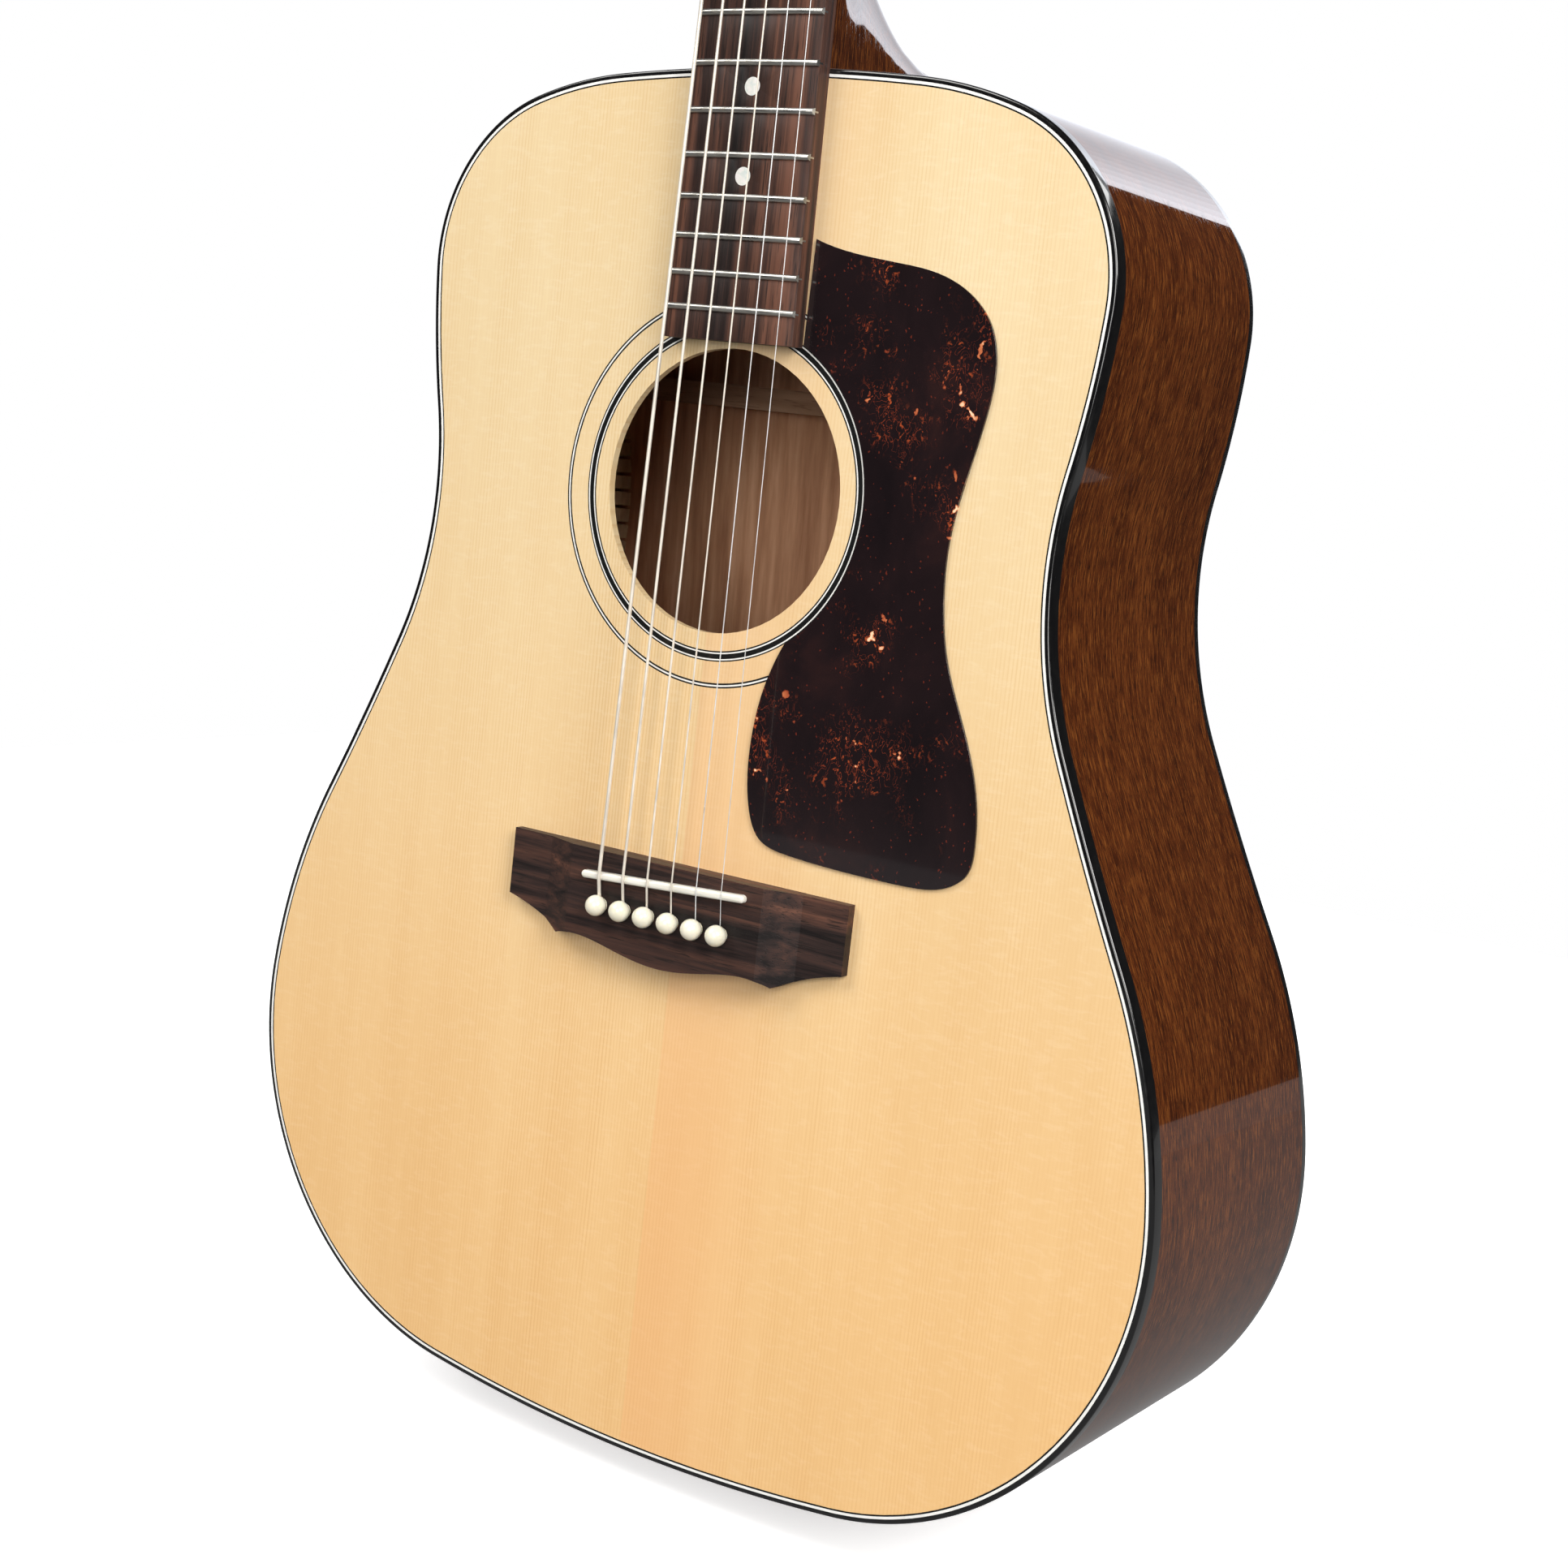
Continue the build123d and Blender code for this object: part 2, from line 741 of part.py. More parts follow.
def head_outline():
    """Half from the nut up: a flare, a straight edge, then a low crown; the other half mirrors it."""
    root = nut_width / 2
    low, high = head_half_width
    shoulder_v = head_length - head_crown
    back_off, bulge, rise = head_corner
    below, above = (high, shoulder_v - back_off), (high - back_off, shoulder_v + rise)
    treble = [
        Spline((root, 0), (low, head_flare), tangents=[(0.3, 1), (0.06, 1)]),
        Line((low, head_flare), below),
        ThreePointArc(below, (high - bulge, shoulder_v - bulge), above),
        ThreePointArc(above, (above[0] / 2, head_length - head_crown_sag), (0, head_length)),
    ]
    bass = [mirror(edge, Plane.YZ) for edge in treble]
    return make_face(treble + bass + [Line((-root, 0), (root, 0))])


def head_layer(low, high):
    return head_plane * (Pos(0, 0, low) * extrude(head_outline(), high - low, dir=(0, 0, 1)))


def neck():
    nut_end = neck_section(HEAD_Z + 2, board_half_width(HEAD_Z + 2), neck_depth_at_nut)
    body_end = neck_section(BODY_TOP - 3, board_half_width(BODY_TOP - 3), neck_depth_at_body)
    shaft = loft([nut_end, body_end], ruled=True) & box((-FAR, FAR), (-FAR, FAR), (0, HEAD_Z))
    rest = (HEEL_DEPTH - heel_start_depth) / (heel_sections - 1)
    depths = [heel_start_depth + rest * step for step in range(heel_sections)]
    heel = loft([at_depth(heel_section(depth), depth) for depth in depths])
    solid = shaft + heel - body_solid(outline(0), 0, 0)
    solid += tenon()
    solid += head_layer(-head_thickness, 0) - box((-FAR, FAR), (-FAR, FAR), (0, HEAD_Z - head_root_drop))
    rod_bore_top = NUT_Z - rod_to_nut + rod_bore_past_end
    solid -= rod_z_cylinder(rod_radius + running_clearance, BLOCK_FACE_Z, rod_bore_top)
    solid -= head_plane * tuner_holes(-head_thickness - 1, 0)
    return solid - head_plane * Compound([tuner_screw_at(*place) for place in tuner_screw_places()])


def headplate():
    return head_layer(0, headplate_thickness) - head_plane * tuner_holes(0, headplate_thickness)


def heel_cap():
    cap = plate(heel_section(HEEL_DEPTH), FRONT + HEEL_DEPTH, FRONT + HEEL_DEPTH + heel_cap_thickness)
    return cap - plate(outline(0), FRONT, FRONT + depth_at_tail)


def board_blank():
    low, high = board_half_width(NUT_Z), board_half_width(BOARD_END)
    corners = [(-low, NUT_Z), (low, NUT_Z), (high, BOARD_END), (-high, BOARD_END)]
    slab = plate(make_face(Polyline(*corners, close=True)), CAMBER_Y - 1, FRONT)
    return slab & camber(0)


def camber(above):
    """The cylinder that the playing face lies on, made larger by above."""
    axis_y = CAMBER_Y + fingerboard_camber
    return Pos(0, axis_y, (NUT_Z + BOARD_END) / 2) * Cylinder(
        fingerboard_camber + above, NUT_Z - BOARD_END + 20
    )


def fret_strip(profile, z):
    """Carry a profile drawn at the centre line across the board along its camber."""
    axis = Axis((0, CAMBER_Y + fingerboard_camber, 0), (0, 0, 1))
    half_angle = math.degrees(math.asin(board_half_width(z) / fingerboard_camber)) + fret_overrun
    turned = (Plane.YZ * profile).rotate(axis, -half_angle)
    return revolve(turned, axis, 2 * half_angle)


def tang_profile(z):
    width, depth = fret_tang
    return Pos(CAMBER_Y + depth / 2, z) * Rectangle(depth, width)


def crown_profile(z):
    half, height = fret_crown[0] / 2, fret_crown[1]
    arc = ThreePointArc((CAMBER_Y, z - half), (CAMBER_Y - height, z), (CAMBER_Y, z + half))
    return make_face([arc, Line((CAMBER_Y, z + half), (CAMBER_Y, z - half))])


def fret(number):
    """One fret: a rounded crown on the board and a tang in its slot, ends filed to a bevel."""
    z = fret_z(number)
    half = board_half_width(z + fret_crown[0] / 2)
    edge_y = CAMBER_Y + half**2 / (2 * fingerboard_camber)
    inset, rise = fret_end_bevel
    above = CAMBER_Y - 2 * fret_crown[1]
    ends = [(-half, FRONT), (half, FRONT), (half, edge_y), (half - inset, edge_y - rise),
            (half - inset, above), (inset - half, above), (inset - half, edge_y - rise), (-half, edge_y)]
    limit = extrude(Plane.XY.offset(z) * make_face(Polyline(*ends, close=True)), fret_crown[0], both=True)
    return fret_strip(crown_profile(z) + tang_profile(z), z) & limit


def frets():
    return Compound([fret(number) for number in range(1, fret_count + 1)])


def marker_places():
    """Face markers as x and z: one between frets, two at the octave."""
    places = []
    for number in marker_frets:
        z = (fret_z(number) + fret_z(number - 1)) / 2
        offsets = (-octave_marker_spread / 2, octave_marker_spread / 2) if number == 12 else (0,)
        places += [(x, z) for x in offsets]
    return places


def position_markers():
    blank = board_blank()
    dots = []
    for x, z in marker_places():
        dot = disc(x, z, marker_radius, CAMBER_Y - 1, CAMBER_Y + marker_depth)
        dots.append(dot & blank)
    for number in marker_frets:
        z = (fret_z(number) + fret_z(number - 1)) / 2
        edge = -board_half_width(z)
        peg = Pos(edge, FRONT - fingerboard_thickness / 2, z) * Rot(0, 90, 0)
        dots.append(peg * Cylinder(side_marker_radius, 2 * side_marker_depth) & blank)
    return Compound(dots)


def fingerboard(markers):
    board = board_blank()
    for number in range(1, fret_count + 1):
        board -= fret_strip(tang_profile(fret_z(number)), fret_z(number))
    for marker in markers.solids():
        board -= marker
    return board


NUT_STRING_Y = CAMBER_Y - fret_crown[1] - action_at_nut


def nut(strings):
    half = nut_width / 2
    block = box((-half, half), (NUT_STRING_Y - nut_above_strings, FRONT), (NUT_Z, HEAD_Z))
    upper_edges = block.edges().filter_by(Axis.X).group_by(Axis.Y)[0]
    block = fillet(upper_edges.sort_by(Axis.Z)[-1], nut_round)
    for string in strings:
        block -= string
    return block


# ---- Truss rod ----

ROD_END_Z = BLOCK_FACE_Z - rod_nut_gap


def truss_rod():
    rod = rod_z_cylinder(rod_radius, ROD_END_Z + rod_nut_gap / 3, NUT_Z - rod_to_nut)
    return rod + rod_z_cylinder(rod_end_radius, ROD_END_Z - rod_end_in_nut, ROD_END_Z + rod_nut_gap)


def truss_rod_nut():
    foot = ROD_END_Z - rod_nut_length
    body = rod_z_cylinder(rod_nut_radius, foot, ROD_END_Z)
    body -= rod_z_cylinder(rod_end_radius + running_clearance, ROD_END_Z - rod_nut_thread, ROD_END_Z + 1)
    key = RegularPolygon(rod_nut_socket / math.sqrt(3), 6)
    return body - Pos(0, ROD_Y, foot) * extrude(key, rod_nut_socket_depth, dir=(0, 0, 1))


# ---- Machine heads, drawn in the headstock's own plane: x across, y up, z out of its face ----

BACK_W = -head_thickness
WHEEL_TOP = BACK_W - plate_thickness - wheel_to_plate
WORM_W = WHEEL_TOP - wheel_thickness / 2
WORM_V = -(wheel_radius + worm_radius + worm_gap)
LUG_U = worm_length / 2 + lug_to_worm
LUG_FOOT = WORM_W - shaft_radius - lug_past_shaft


def drum(u, v, radius, low, high):
    return Pos(u, v, (low + high) / 2) * Cylinder(radius, high - low)


def tuner_places():
    """Side and place of each post: strings 1 to 3 on the treble side, 4 to 6 on the bass side."""
    rows = {1: (1, 0), 2: (1, 1), 3: (1, 2), 4: (-1, 2), 5: (-1, 1), 6: (-1, 0)}
    return {
        number: (side_sign, side_sign * post_offset, first_post + row * post_spacing)
        for number, (side_sign, row) in rows.items()
    }


def tuner_holes(low, high):
    """Bores through headplate and head: wide for the bushing, then just clear of the post."""
    bores = []
    bushing_foot = headplate_thickness - bushing_depth
    for _, u, v in tuner_places().values():
        bores.append(drum(u, v, bushing_radius, max(low, bushing_foot), high + 1))
        if low < bushing_foot:
            bores.append(drum(u, v, post_radius + post_clearance, low, bushing_foot))
    return Compound(bores)


def tuner_bushings():
    flange_radius, flange_thickness = bushing_flange
    rings = []
    for _, u, v in tuner_places().values():
        sleeve = drum(u, v, bushing_radius, headplate_thickness - bushing_depth, headplate_thickness)
        sleeve += drum(u, v, flange_radius, headplate_thickness, headplate_thickness + flange_thickness)
        rings.append(sleeve - drum(u, v, post_radius + running_clearance, -bushing_depth, post_top))
    return head_plane * Compound(rings)


SCREW_OFFSETS = (tuner_screw_from_post, WORM_V - tuner_screw_from_worm)


def tuner_screw_places():
    return [(u, v + offset) for _, u, v in tuner_places().values() for offset in SCREW_OFFSETS]


def tuner_screw_at(u, v):
    shank_radius, head_radius, length = tuner_screw
    head_height, head_round = tuner_screw_head
    under_head = BACK_W - plate_thickness
    screw = drum(u, v, shank_radius, under_head, under_head + length)
    head = drum(u, v, head_radius, under_head - head_height, under_head)
    head = fillet(head.edges().group_by(Axis.Z)[0], head_round)
    return screw + head


def tuner_screws():
    return head_plane * Compound([tuner_screw_at(*place) for place in tuner_screw_places()])


def tuner_plate_at(u, v):
    """Back plate with two lugs that carry the worm shaft."""
    low = v + min(SCREW_OFFSETS) - plate_past_screw
    high = v + max(SCREW_OFFSETS) + plate_past_screw
    foot = Pos(u, (low + high) / 2) * RectangleRounded(plate_width, high - low, plate_round)
    plate_solid = Pos(0, 0, BACK_W - plate_thickness) * extrude(foot, plate_thickness, dir=(0, 0, 1))
    for sign in (-1, 1):
        near, far = sorted((u + sign * LUG_U, u + sign * (LUG_U + lug_thickness)))
        across = (v + WORM_V - lug_half_width, v + WORM_V + lug_half_width)
        plate_solid += box((near, far), across, (LUG_FOOT, BACK_W))
    shaft_bore = Cylinder(shaft_radius + running_clearance, 3 * worm_length)
    plate_solid -= Pos(u, v + WORM_V, WORM_W) * Rot(0, 90, 0) * shaft_bore
    plate_solid -= drum(u, v, post_radius + running_clearance, WHEEL_TOP, BACK_W + 1)
    for offset in SCREW_OFFSETS:
        plate_solid -= drum(u, v + offset, tuner_screw[0], WHEEL_TOP, BACK_W + 1)
    return plate_solid


def tuner_plates():
    return head_plane * Compound([tuner_plate_at(u, v) for _, u, v in tuner_places().values()])


def tuner_post(number):
    """Post with its worm wheel and the screw that holds the wheel on."""
    _, u, v = tuner_places()[number]
    screw_radius, screw_height = wheel_screw
    wheel = Circle(wheel_radius) - PolarLocations(wheel_radius, wheel_teeth) * Circle(wheel_tooth_gap)
    wheel = Pos(u, v, WHEEL_TOP - wheel_thickness) * extrude(wheel, wheel_thickness, dir=(0, 0, 1))
    post = drum(u, v, post_radius, WHEEL_TOP, post_top)
    post = fillet(post.edges().group_by(Axis.Z)[-1], post_round)
    hole = Pos(u, v, string_wrap_height) * Rot(90, 0, 0) * Cylinder(post_hole_radius, 3 * post_radius)
    wheel_foot = WHEEL_TOP - wheel_thickness
    screw = drum(u, v, screw_radius, wheel_foot - screw_height, wheel_foot)
    return head_plane * (post - hole + wheel + screw)


def tuner_button(number):
    """Worm, its shaft and the flat oval button outside the headstock."""
    side_sign, u, v = tuner_places()[number]
    across, along, thick = button_size
    pitch, groove_width, groove_depth = worm_thread
    collar_radius, collar_length = button_collar
    edge = head_half_width[1] + button_standoff
    worm = Pos(u, v + WORM_V, WORM_W) * Rot(0, 90, 0) * Cylinder(worm_radius, worm_length)
    for step in (-1.5, -0.5, 0.5, 1.5):
        groove = Cylinder(worm_radius + 1, groove_width) - Cylinder(worm_radius - groove_depth, groove_width)
        worm -= Pos(u + pitch * step, v + WORM_V, WORM_W) * Rot(0, 90, 0) * groove
    inner, outer = sorted((u - side_sign * (LUG_U + lug_thickness + 1), side_sign * (edge + across / 3)))
    shaft = Pos((inner + outer) / 2, v + WORM_V, WORM_W) * Rot(0, 90, 0)
    shaft *= Cylinder(shaft_radius, outer - inner)
    grip = extrude(Ellipse(across / 2, along / 2), thick / 2, both=True)
    grip = fillet(grip.edges(), button_round)
    grip = Pos(side_sign * (edge + across / 2), v + WORM_V, WORM_W) * grip
    collar = Pos(side_sign * (edge + collar_length / 4), v + WORM_V, WORM_W) * Rot(0, 90, 0)
    collar *= Cylinder(collar_radius, collar_length)
    return head_plane * (worm + shaft + grip + collar)


# ---- Strings ----


def string_route(number):
    """Corners of a string: ball end, out of the pin hole, over the saddle, over the nut, to its post."""
    radius = string_gauges[number - 1] / 2
    bridge_x = string_x(number, bridge_string_spacing)
    exit_y = FRONT - bridge_height - string_exit_height - radius
    ball = (bridge_x, PLATE_UNDERSIDE + ball_radius, STRING_SLOT_Z)
    leave = (bridge_x, exit_y, STRING_SLOT_Z)
    crown = (bridge_x, FRONT - saddle_height - radius, saddle_z(bridge_x))
    nut_x = string_x(number, nut_string_spacing)
    over_nut = Vector(nut_x, NUT_STRING_Y - radius, NUT_Z + nut_bearing)

    side_sign, u, v = tuner_places()[number]
    wrap_radius = post_radius + string_wrap_gap + radius
    start = head_plane.to_local_coords(over_nut)
    du, dv = u - start.X, v - start.Y
    distance = math.hypot(du, dv)
    heading = math.atan2(dv, du) + side_sign * math.asin(wrap_radius / distance)
    run = math.sqrt(distance**2 - wrap_radius**2)
    touch = (start.X + run * math.cos(heading), start.Y + run * math.sin(heading), string_wrap_height)
    return [Vector(*ball), Vector(*leave), Vector(*crown), over_nut, head_plane.from_local_coords(touch)]


def string(number):
    """Ball end, plain round run and the turns on the post as one closed sleeve."""
    gauge = string_gauges[number - 1]
    route = string_route(number)
    path = FilletPolyline(*route, radius=string_bends)
    run = sweep(Plane(origin=path @ 0, z_dir=path % 0) * Circle(gauge / 2), path=path)
    ball = Pos(*(route[0] + Vector(0, 0, ball_offset))) * Sphere(ball_radius)
    _, u, v = tuner_places()[number]
    inner = post_radius + string_wrap_gap
    low, high = [string_wrap_height + side * string_wrap_turns * gauge / 2 for side in (-1, 1)]
    wraps = drum(u, v, inner + gauge, low, high) - drum(u, v, inner, low - 1, high + 1)
    return run + ball + head_plane * wraps


# ---- Strap button ----


def end_pin():
    shank_radius, shank_length = button_shank
    flare = Pos(0, 0, (button_head_length + BODY_BOTTOM) / 2)
    head = Pos(0, 0, button_head_length / 2) * Cylinder(button_radius, button_head_length)
    waist = flare * Cone(button_waist_radius, shank_radius + button_flare, BODY_BOTTOM - button_head_length)
    waist -= body_solid(outline(0), 0, 0)
    shank = Pos(0, 0, BODY_BOTTOM + shank_length / 2 - 1) * Cylinder(shank_radius, shank_length + 1.9)
    return head + waist + shank


# ---- Assembly ----

strings = {number: string(number) for number in range(1, 7)}
markers = position_markers()

nodes = {
    "soundboard": soundboard(),
    "back": back(),
    "side_bass": side(-1),
    "side_treble": side(1),
    "neck_block": neck_block(),
    "end_block": end_block(),
    "top_lining": top_lining(),
    "back_lining": back_lining(),
    "top_binding": top_binding(),
    "back_binding": back_binding(),
    "top_purfling": purfling(),
    "rosette_inner": hole_ring(rosette_inner_ring),
    "rosette_outer": hole_ring(rosette_outer_ring),
    "end_graft": end_graft(),
    "soundboard_braces": soundboard_braces(),
    "bridge_plate": bridge_plate(),
    "back_braces": back_braces(),
    "back_strip": back_strip(),
    "pickguard": pickguard(),
    "bridge": bridge(strings.values()),
    "saddle": saddle(strings.values()),
    "neck": neck(),
    "heel_cap": heel_cap(),
    "fingerboard": fingerboard(markers),
    "frets": frets(),
    "position_markers": markers,
    "nut": nut(strings.values()),
    "headplate": headplate(),
    "truss_rod": truss_rod(),
    "truss_rod_nut": truss_rod_nut(),
    "tuner_plates": tuner_plates(),
    "tuner_bushings": tuner_bushings(),
    "tuner_screws": tuner_screws(),
    "end_pin": end_pin(),
}
for number in range(1, 7):
    nodes[f"bridge_pin_{number}"] = bridge_pin(number)
    nodes[f"tuner_post_{number}"] = tuner_post(number)
    nodes[f"tuner_button_{number}"] = tuner_button(number)
    nodes[f"string_{number}"] = strings[number]

os.makedirs("parts", exist_ok=True)
for name, shape in nodes.items():
    export_step(shape, f"parts/{name}.step")
print(f"body {BODY_LENGTH:.1f} long, saddle line at {SCALE_Z:.1f}, nut at {NUT_Z:.1f}, hole at {HOLE_Z:.1f}")
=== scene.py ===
import math

import bmesh
import bpy
from mathutils import Matrix, Vector


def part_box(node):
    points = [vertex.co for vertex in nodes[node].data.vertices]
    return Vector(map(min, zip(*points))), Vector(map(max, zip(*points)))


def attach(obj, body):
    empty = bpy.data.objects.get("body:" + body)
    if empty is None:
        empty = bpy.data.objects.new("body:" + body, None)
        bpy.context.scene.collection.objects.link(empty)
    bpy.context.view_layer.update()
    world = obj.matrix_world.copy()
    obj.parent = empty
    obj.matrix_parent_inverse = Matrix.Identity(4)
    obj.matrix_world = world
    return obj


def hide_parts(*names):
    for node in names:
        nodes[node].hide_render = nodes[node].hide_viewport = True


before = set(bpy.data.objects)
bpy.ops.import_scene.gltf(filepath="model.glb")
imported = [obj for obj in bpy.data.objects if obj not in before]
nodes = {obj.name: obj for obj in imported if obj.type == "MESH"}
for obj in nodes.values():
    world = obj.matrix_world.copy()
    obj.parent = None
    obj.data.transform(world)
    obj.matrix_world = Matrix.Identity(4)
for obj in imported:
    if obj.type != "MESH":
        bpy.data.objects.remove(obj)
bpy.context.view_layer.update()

mm = 0.001

# ---------------------------------------------------------------------------------------------
# Studio: white paper under the guitar, soft boxes in front and over it, and pale panels behind it that
# the lacquer mirrors, graded to give an even band on the shoulder. The camera has a normal lens and is
# a little under a metre away, on the treble side and slightly above the bridge.
# ---------------------------------------------------------------------------------------------
scene = bpy.context.scene
scene.view_settings.view_transform = "Standard"

saddle_foot_to_scale_line = 7.2 * mm
scale_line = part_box("saddle")[0].z + saddle_foot_to_scale_line
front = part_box("soundboard")[0].y

camera_data = bpy.data.cameras.new("camera")
camera_data.lens = 55.0
camera_data.shift_x = 0.0070
camera_data.shift_y = -0.0033
camera = bpy.data.objects.new("camera", camera_data)
right = Vector((0.81800, 0.56447, 0.11069)).normalized()
back = Vector((0.54986, -0.82383, 0.13769)).normalized()
up = back.cross(right).normalized()
right = up.cross(back)
camera_place = Matrix.Translation((0.50485, front - 0.7023, scale_line + 0.15907))
camera.matrix_world = camera_place @ Matrix((right, up, back)).transposed().to_4x4()
scene.collection.objects.link(camera)
scene.camera = camera

world = bpy.data.worlds.new("studio")
world.use_nodes = True
scene.world = world
sky = world.node_tree
seen = sky.nodes["Background"]
seen.inputs["Color"].default_value = (1, 1, 1, 1)
ambient = sky.nodes.new("ShaderNodeBackground")
ambient.inputs["Color"].default_value = (0.96, 0.97, 1.0, 1)
ambient.inputs["Strength"].default_value = 0.035


def seen_apart(tree, output, seen, unseen):
    """Show one shader to the camera; light the guitar and fill its reflections with the other."""
    rays = tree.nodes.new("ShaderNodeLightPath")
    choose = tree.nodes.new("ShaderNodeMixShader")
    tree.links.new(rays.outputs["Is Camera Ray"], choose.inputs["Fac"])
    tree.links.new(unseen.outputs[0], choose.inputs[1])
    tree.links.new(seen.outputs[0], choose.inputs[2])
    tree.links.new(choose.outputs["Shader"], tree.nodes[output].inputs["Surface"])


seen_apart(sky, "World Output", seen, ambient)


def soft_box(name, place, aim, width, height, brightness, tint=(1, 1, 1)):
    """Rectangular lamp that shines at aim; brightness is how bright its face looks in a mirror."""
    data = bpy.data.lights.new(name, "AREA")
    data.shape = "RECTANGLE"
    data.size, data.size_y = width, height
    data.energy = brightness * math.pi * width * height
    data.color = tint
    lamp = bpy.data.objects.new(name, data)
    lamp.location = place
    lamp.rotation_euler = (Vector(aim) - Vector(place)).to_track_quat("-Z", "Y").to_euler()
    lamp.visible_camera = False
    scene.collection.objects.link(lamp)


warm_white = (1.0, 0.99, 0.97)
soft_box("key", (-1.4, -1.6, 2.3), (0, 0, 0.4), 1.5, 1.5, 7.5, (1.0, 0.99, 0.96))
soft_box("side_key", (2.1, -1.2, 1.7), (0, 0, 0.35), 1.1, 1.3, 15.0, warm_white)
soft_box("front", (0.7, -2.0, 0.8), (0, 0, 0.4), 1.0, 1.0, 7.0, warm_white)
backdrop_y = 1.5
backdrop_z = 0.9
backdrop_height = 2.0
backdrop_tint = (0.92, 0.955, 1.04)
backdrop_glow = 1.2
graded_strips = 9
graded_glow = 2.6
backdrop_edges = (-1.80, -0.40, 0.22)


def backdrop_panel(name, middle, width, glow):
    soft_box(name, (middle, backdrop_y, backdrop_z), (middle, 0, backdrop_z), width, backdrop_height,
             glow, backdrop_tint)


far_edge, graded_low, graded_high = backdrop_edges
backdrop_panel("backdrop", (far_edge + graded_low) / 2, graded_low - far_edge, backdrop_glow)
strip_width = (graded_high - graded_low) / graded_strips
for number in range(graded_strips):
    share = (number + 0.5) / graded_strips
    middle = graded_low + strip_width * (number + 0.5)
    backdrop_panel(f"graded_backdrop_{number}", middle, strip_width, backdrop_glow + graded_glow * share**2)
mirrored_paper = 0.27
soft_box("low_backdrop", (1.2, backdrop_y, 0.05), (1.2, 0, 0.05), 1.9, 0.10, mirrored_paper)
soft_box("rear_key", (1.0, 2.3, 2.6), (0, 0, 0.5), 1.2, 1.2, 4.0)

floor_mesh = bpy.data.meshes.new("floor")
floor_z = -0.5 * mm
floor_corners = [(-1.5, -1.4), (2.2, -1.4), (2.2, backdrop_y), (-1.5, backdrop_y)]
floor_mesh.from_pydata([(x, y, floor_z) for x, y in floor_corners], [], [(0, 1, 2, 3)])
floor = bpy.data.objects.new("floor", floor_mesh)
scene.collection.objects.link(floor)
floor_finish = bpy.data.materials.new("floor_paper")
floor_finish.use_nodes = True
sheet = floor_finish.node_tree
paper = sheet.nodes["Principled BSDF"]
paper.inputs["Base Color"].default_value = (0.95, 0.95, 0.95, 1)
paper.inputs["Roughness"].default_value = 0.9
paper.inputs["Emission Color"].default_value = (1, 1, 1, 1)
paper.inputs["Emission Strength"].default_value = 0.62
mirrored = sheet.nodes.new("ShaderNodeEmission")
mirrored.inputs["Strength"].default_value = mirrored_paper
seen_apart(sheet, "Material Output", paper, mirrored)
floor_mesh.materials.append(floor_finish)

# ---------------------------------------------------------------------------------------------
# Sides: two thin mahogany strips bent over a hot pipe to the outline, butted at the neck and tail
# and glued to the end blocks, rebated at both edges for the bindings and lacquered to a high gloss.
# ---------------------------------------------------------------------------------------------
outline_arcs = [(794.0, 4.60), (155.6, 14.88), (65.6, 73.70), (355.6, 8.45), (-155.0, 35.15),
                (-1282.0, 3.16), (231.0, 20.70), (128.6, 58.76), (122.8, 29.45)]
body_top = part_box("top_binding")[1].z
body_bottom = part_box("top_binding")[0].z
back_low_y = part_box("back_binding")[1].y
depth_at_tail = back_low_y - front
depth_at_neck = 105.0 * mm
side_wall = 2.4 * mm
top_wall = 3.0 * mm
back_wall = 2.6 * mm
binding_width = 1.9 * mm
binding_height = 6.0 * mm
back_binding_height = 4.0 * mm
edge_step = 2.0 * mm


def back_plane(z):
    """Depth of the back's outer face, which slopes towards the top at the neck end."""
    share = (z - body_bottom) / (body_top - body_bottom)
    return front + depth_at_tail + (depth_at_neck - depth_at_tail) * share


def below_back(drop):
    return lambda z: back_plane(z) - drop


def edge_walk(step):
    """Points down the treble edge from neck to tail: x, z, outward normal x and z, run so far."""
    walk = []
    x, z, heading, run = 0.0, body_top, 0.0, 0.0

    def arc(radius, turn):
        nonlocal x, z, heading, run
        centre_x, centre_z = x - radius * math.sin(heading), z - radius * math.cos(heading)
        count = max(3, round(abs(radius) * turn / step))
        for k in range(count):
            a = heading + math.copysign(turn, radius) * k / count
            walk.append((centre_x + radius * math.sin(a), centre_z + radius * math.cos(a),
                         math.sin(a), math.cos(a), run + abs(radius) * turn * k / count))
        heading += math.copysign(turn, radius)
        run += abs(radius) * turn
        x, z = centre_x + radius * math.sin(heading), centre_z + radius * math.cos(heading)

    for radius, degrees in outline_arcs:
        arc(radius * mm, math.radians(degrees))
    arc(x / math.sin(math.pi - heading), math.pi - heading)
    walk.append((0.0, z, 0.0, -1.0, run))
    return walk


def new_piece(name, verts, faces, uvs=None):
    """Mesh object in the row's frame; uvs holds one pair for each vertex."""
    mesh = bpy.data.meshes.new(name)
    mesh.from_pydata(verts, [], faces)
    if uvs:
        layer = mesh.uv_layers.new(name="UVMap")
        for loop in mesh.loops:
            layer.data[loop.index].uv = uvs[loop.vertex_index]
    piece = bpy.data.objects.new(name, mesh)
    scene.collection.objects.link(piece)
    return piece


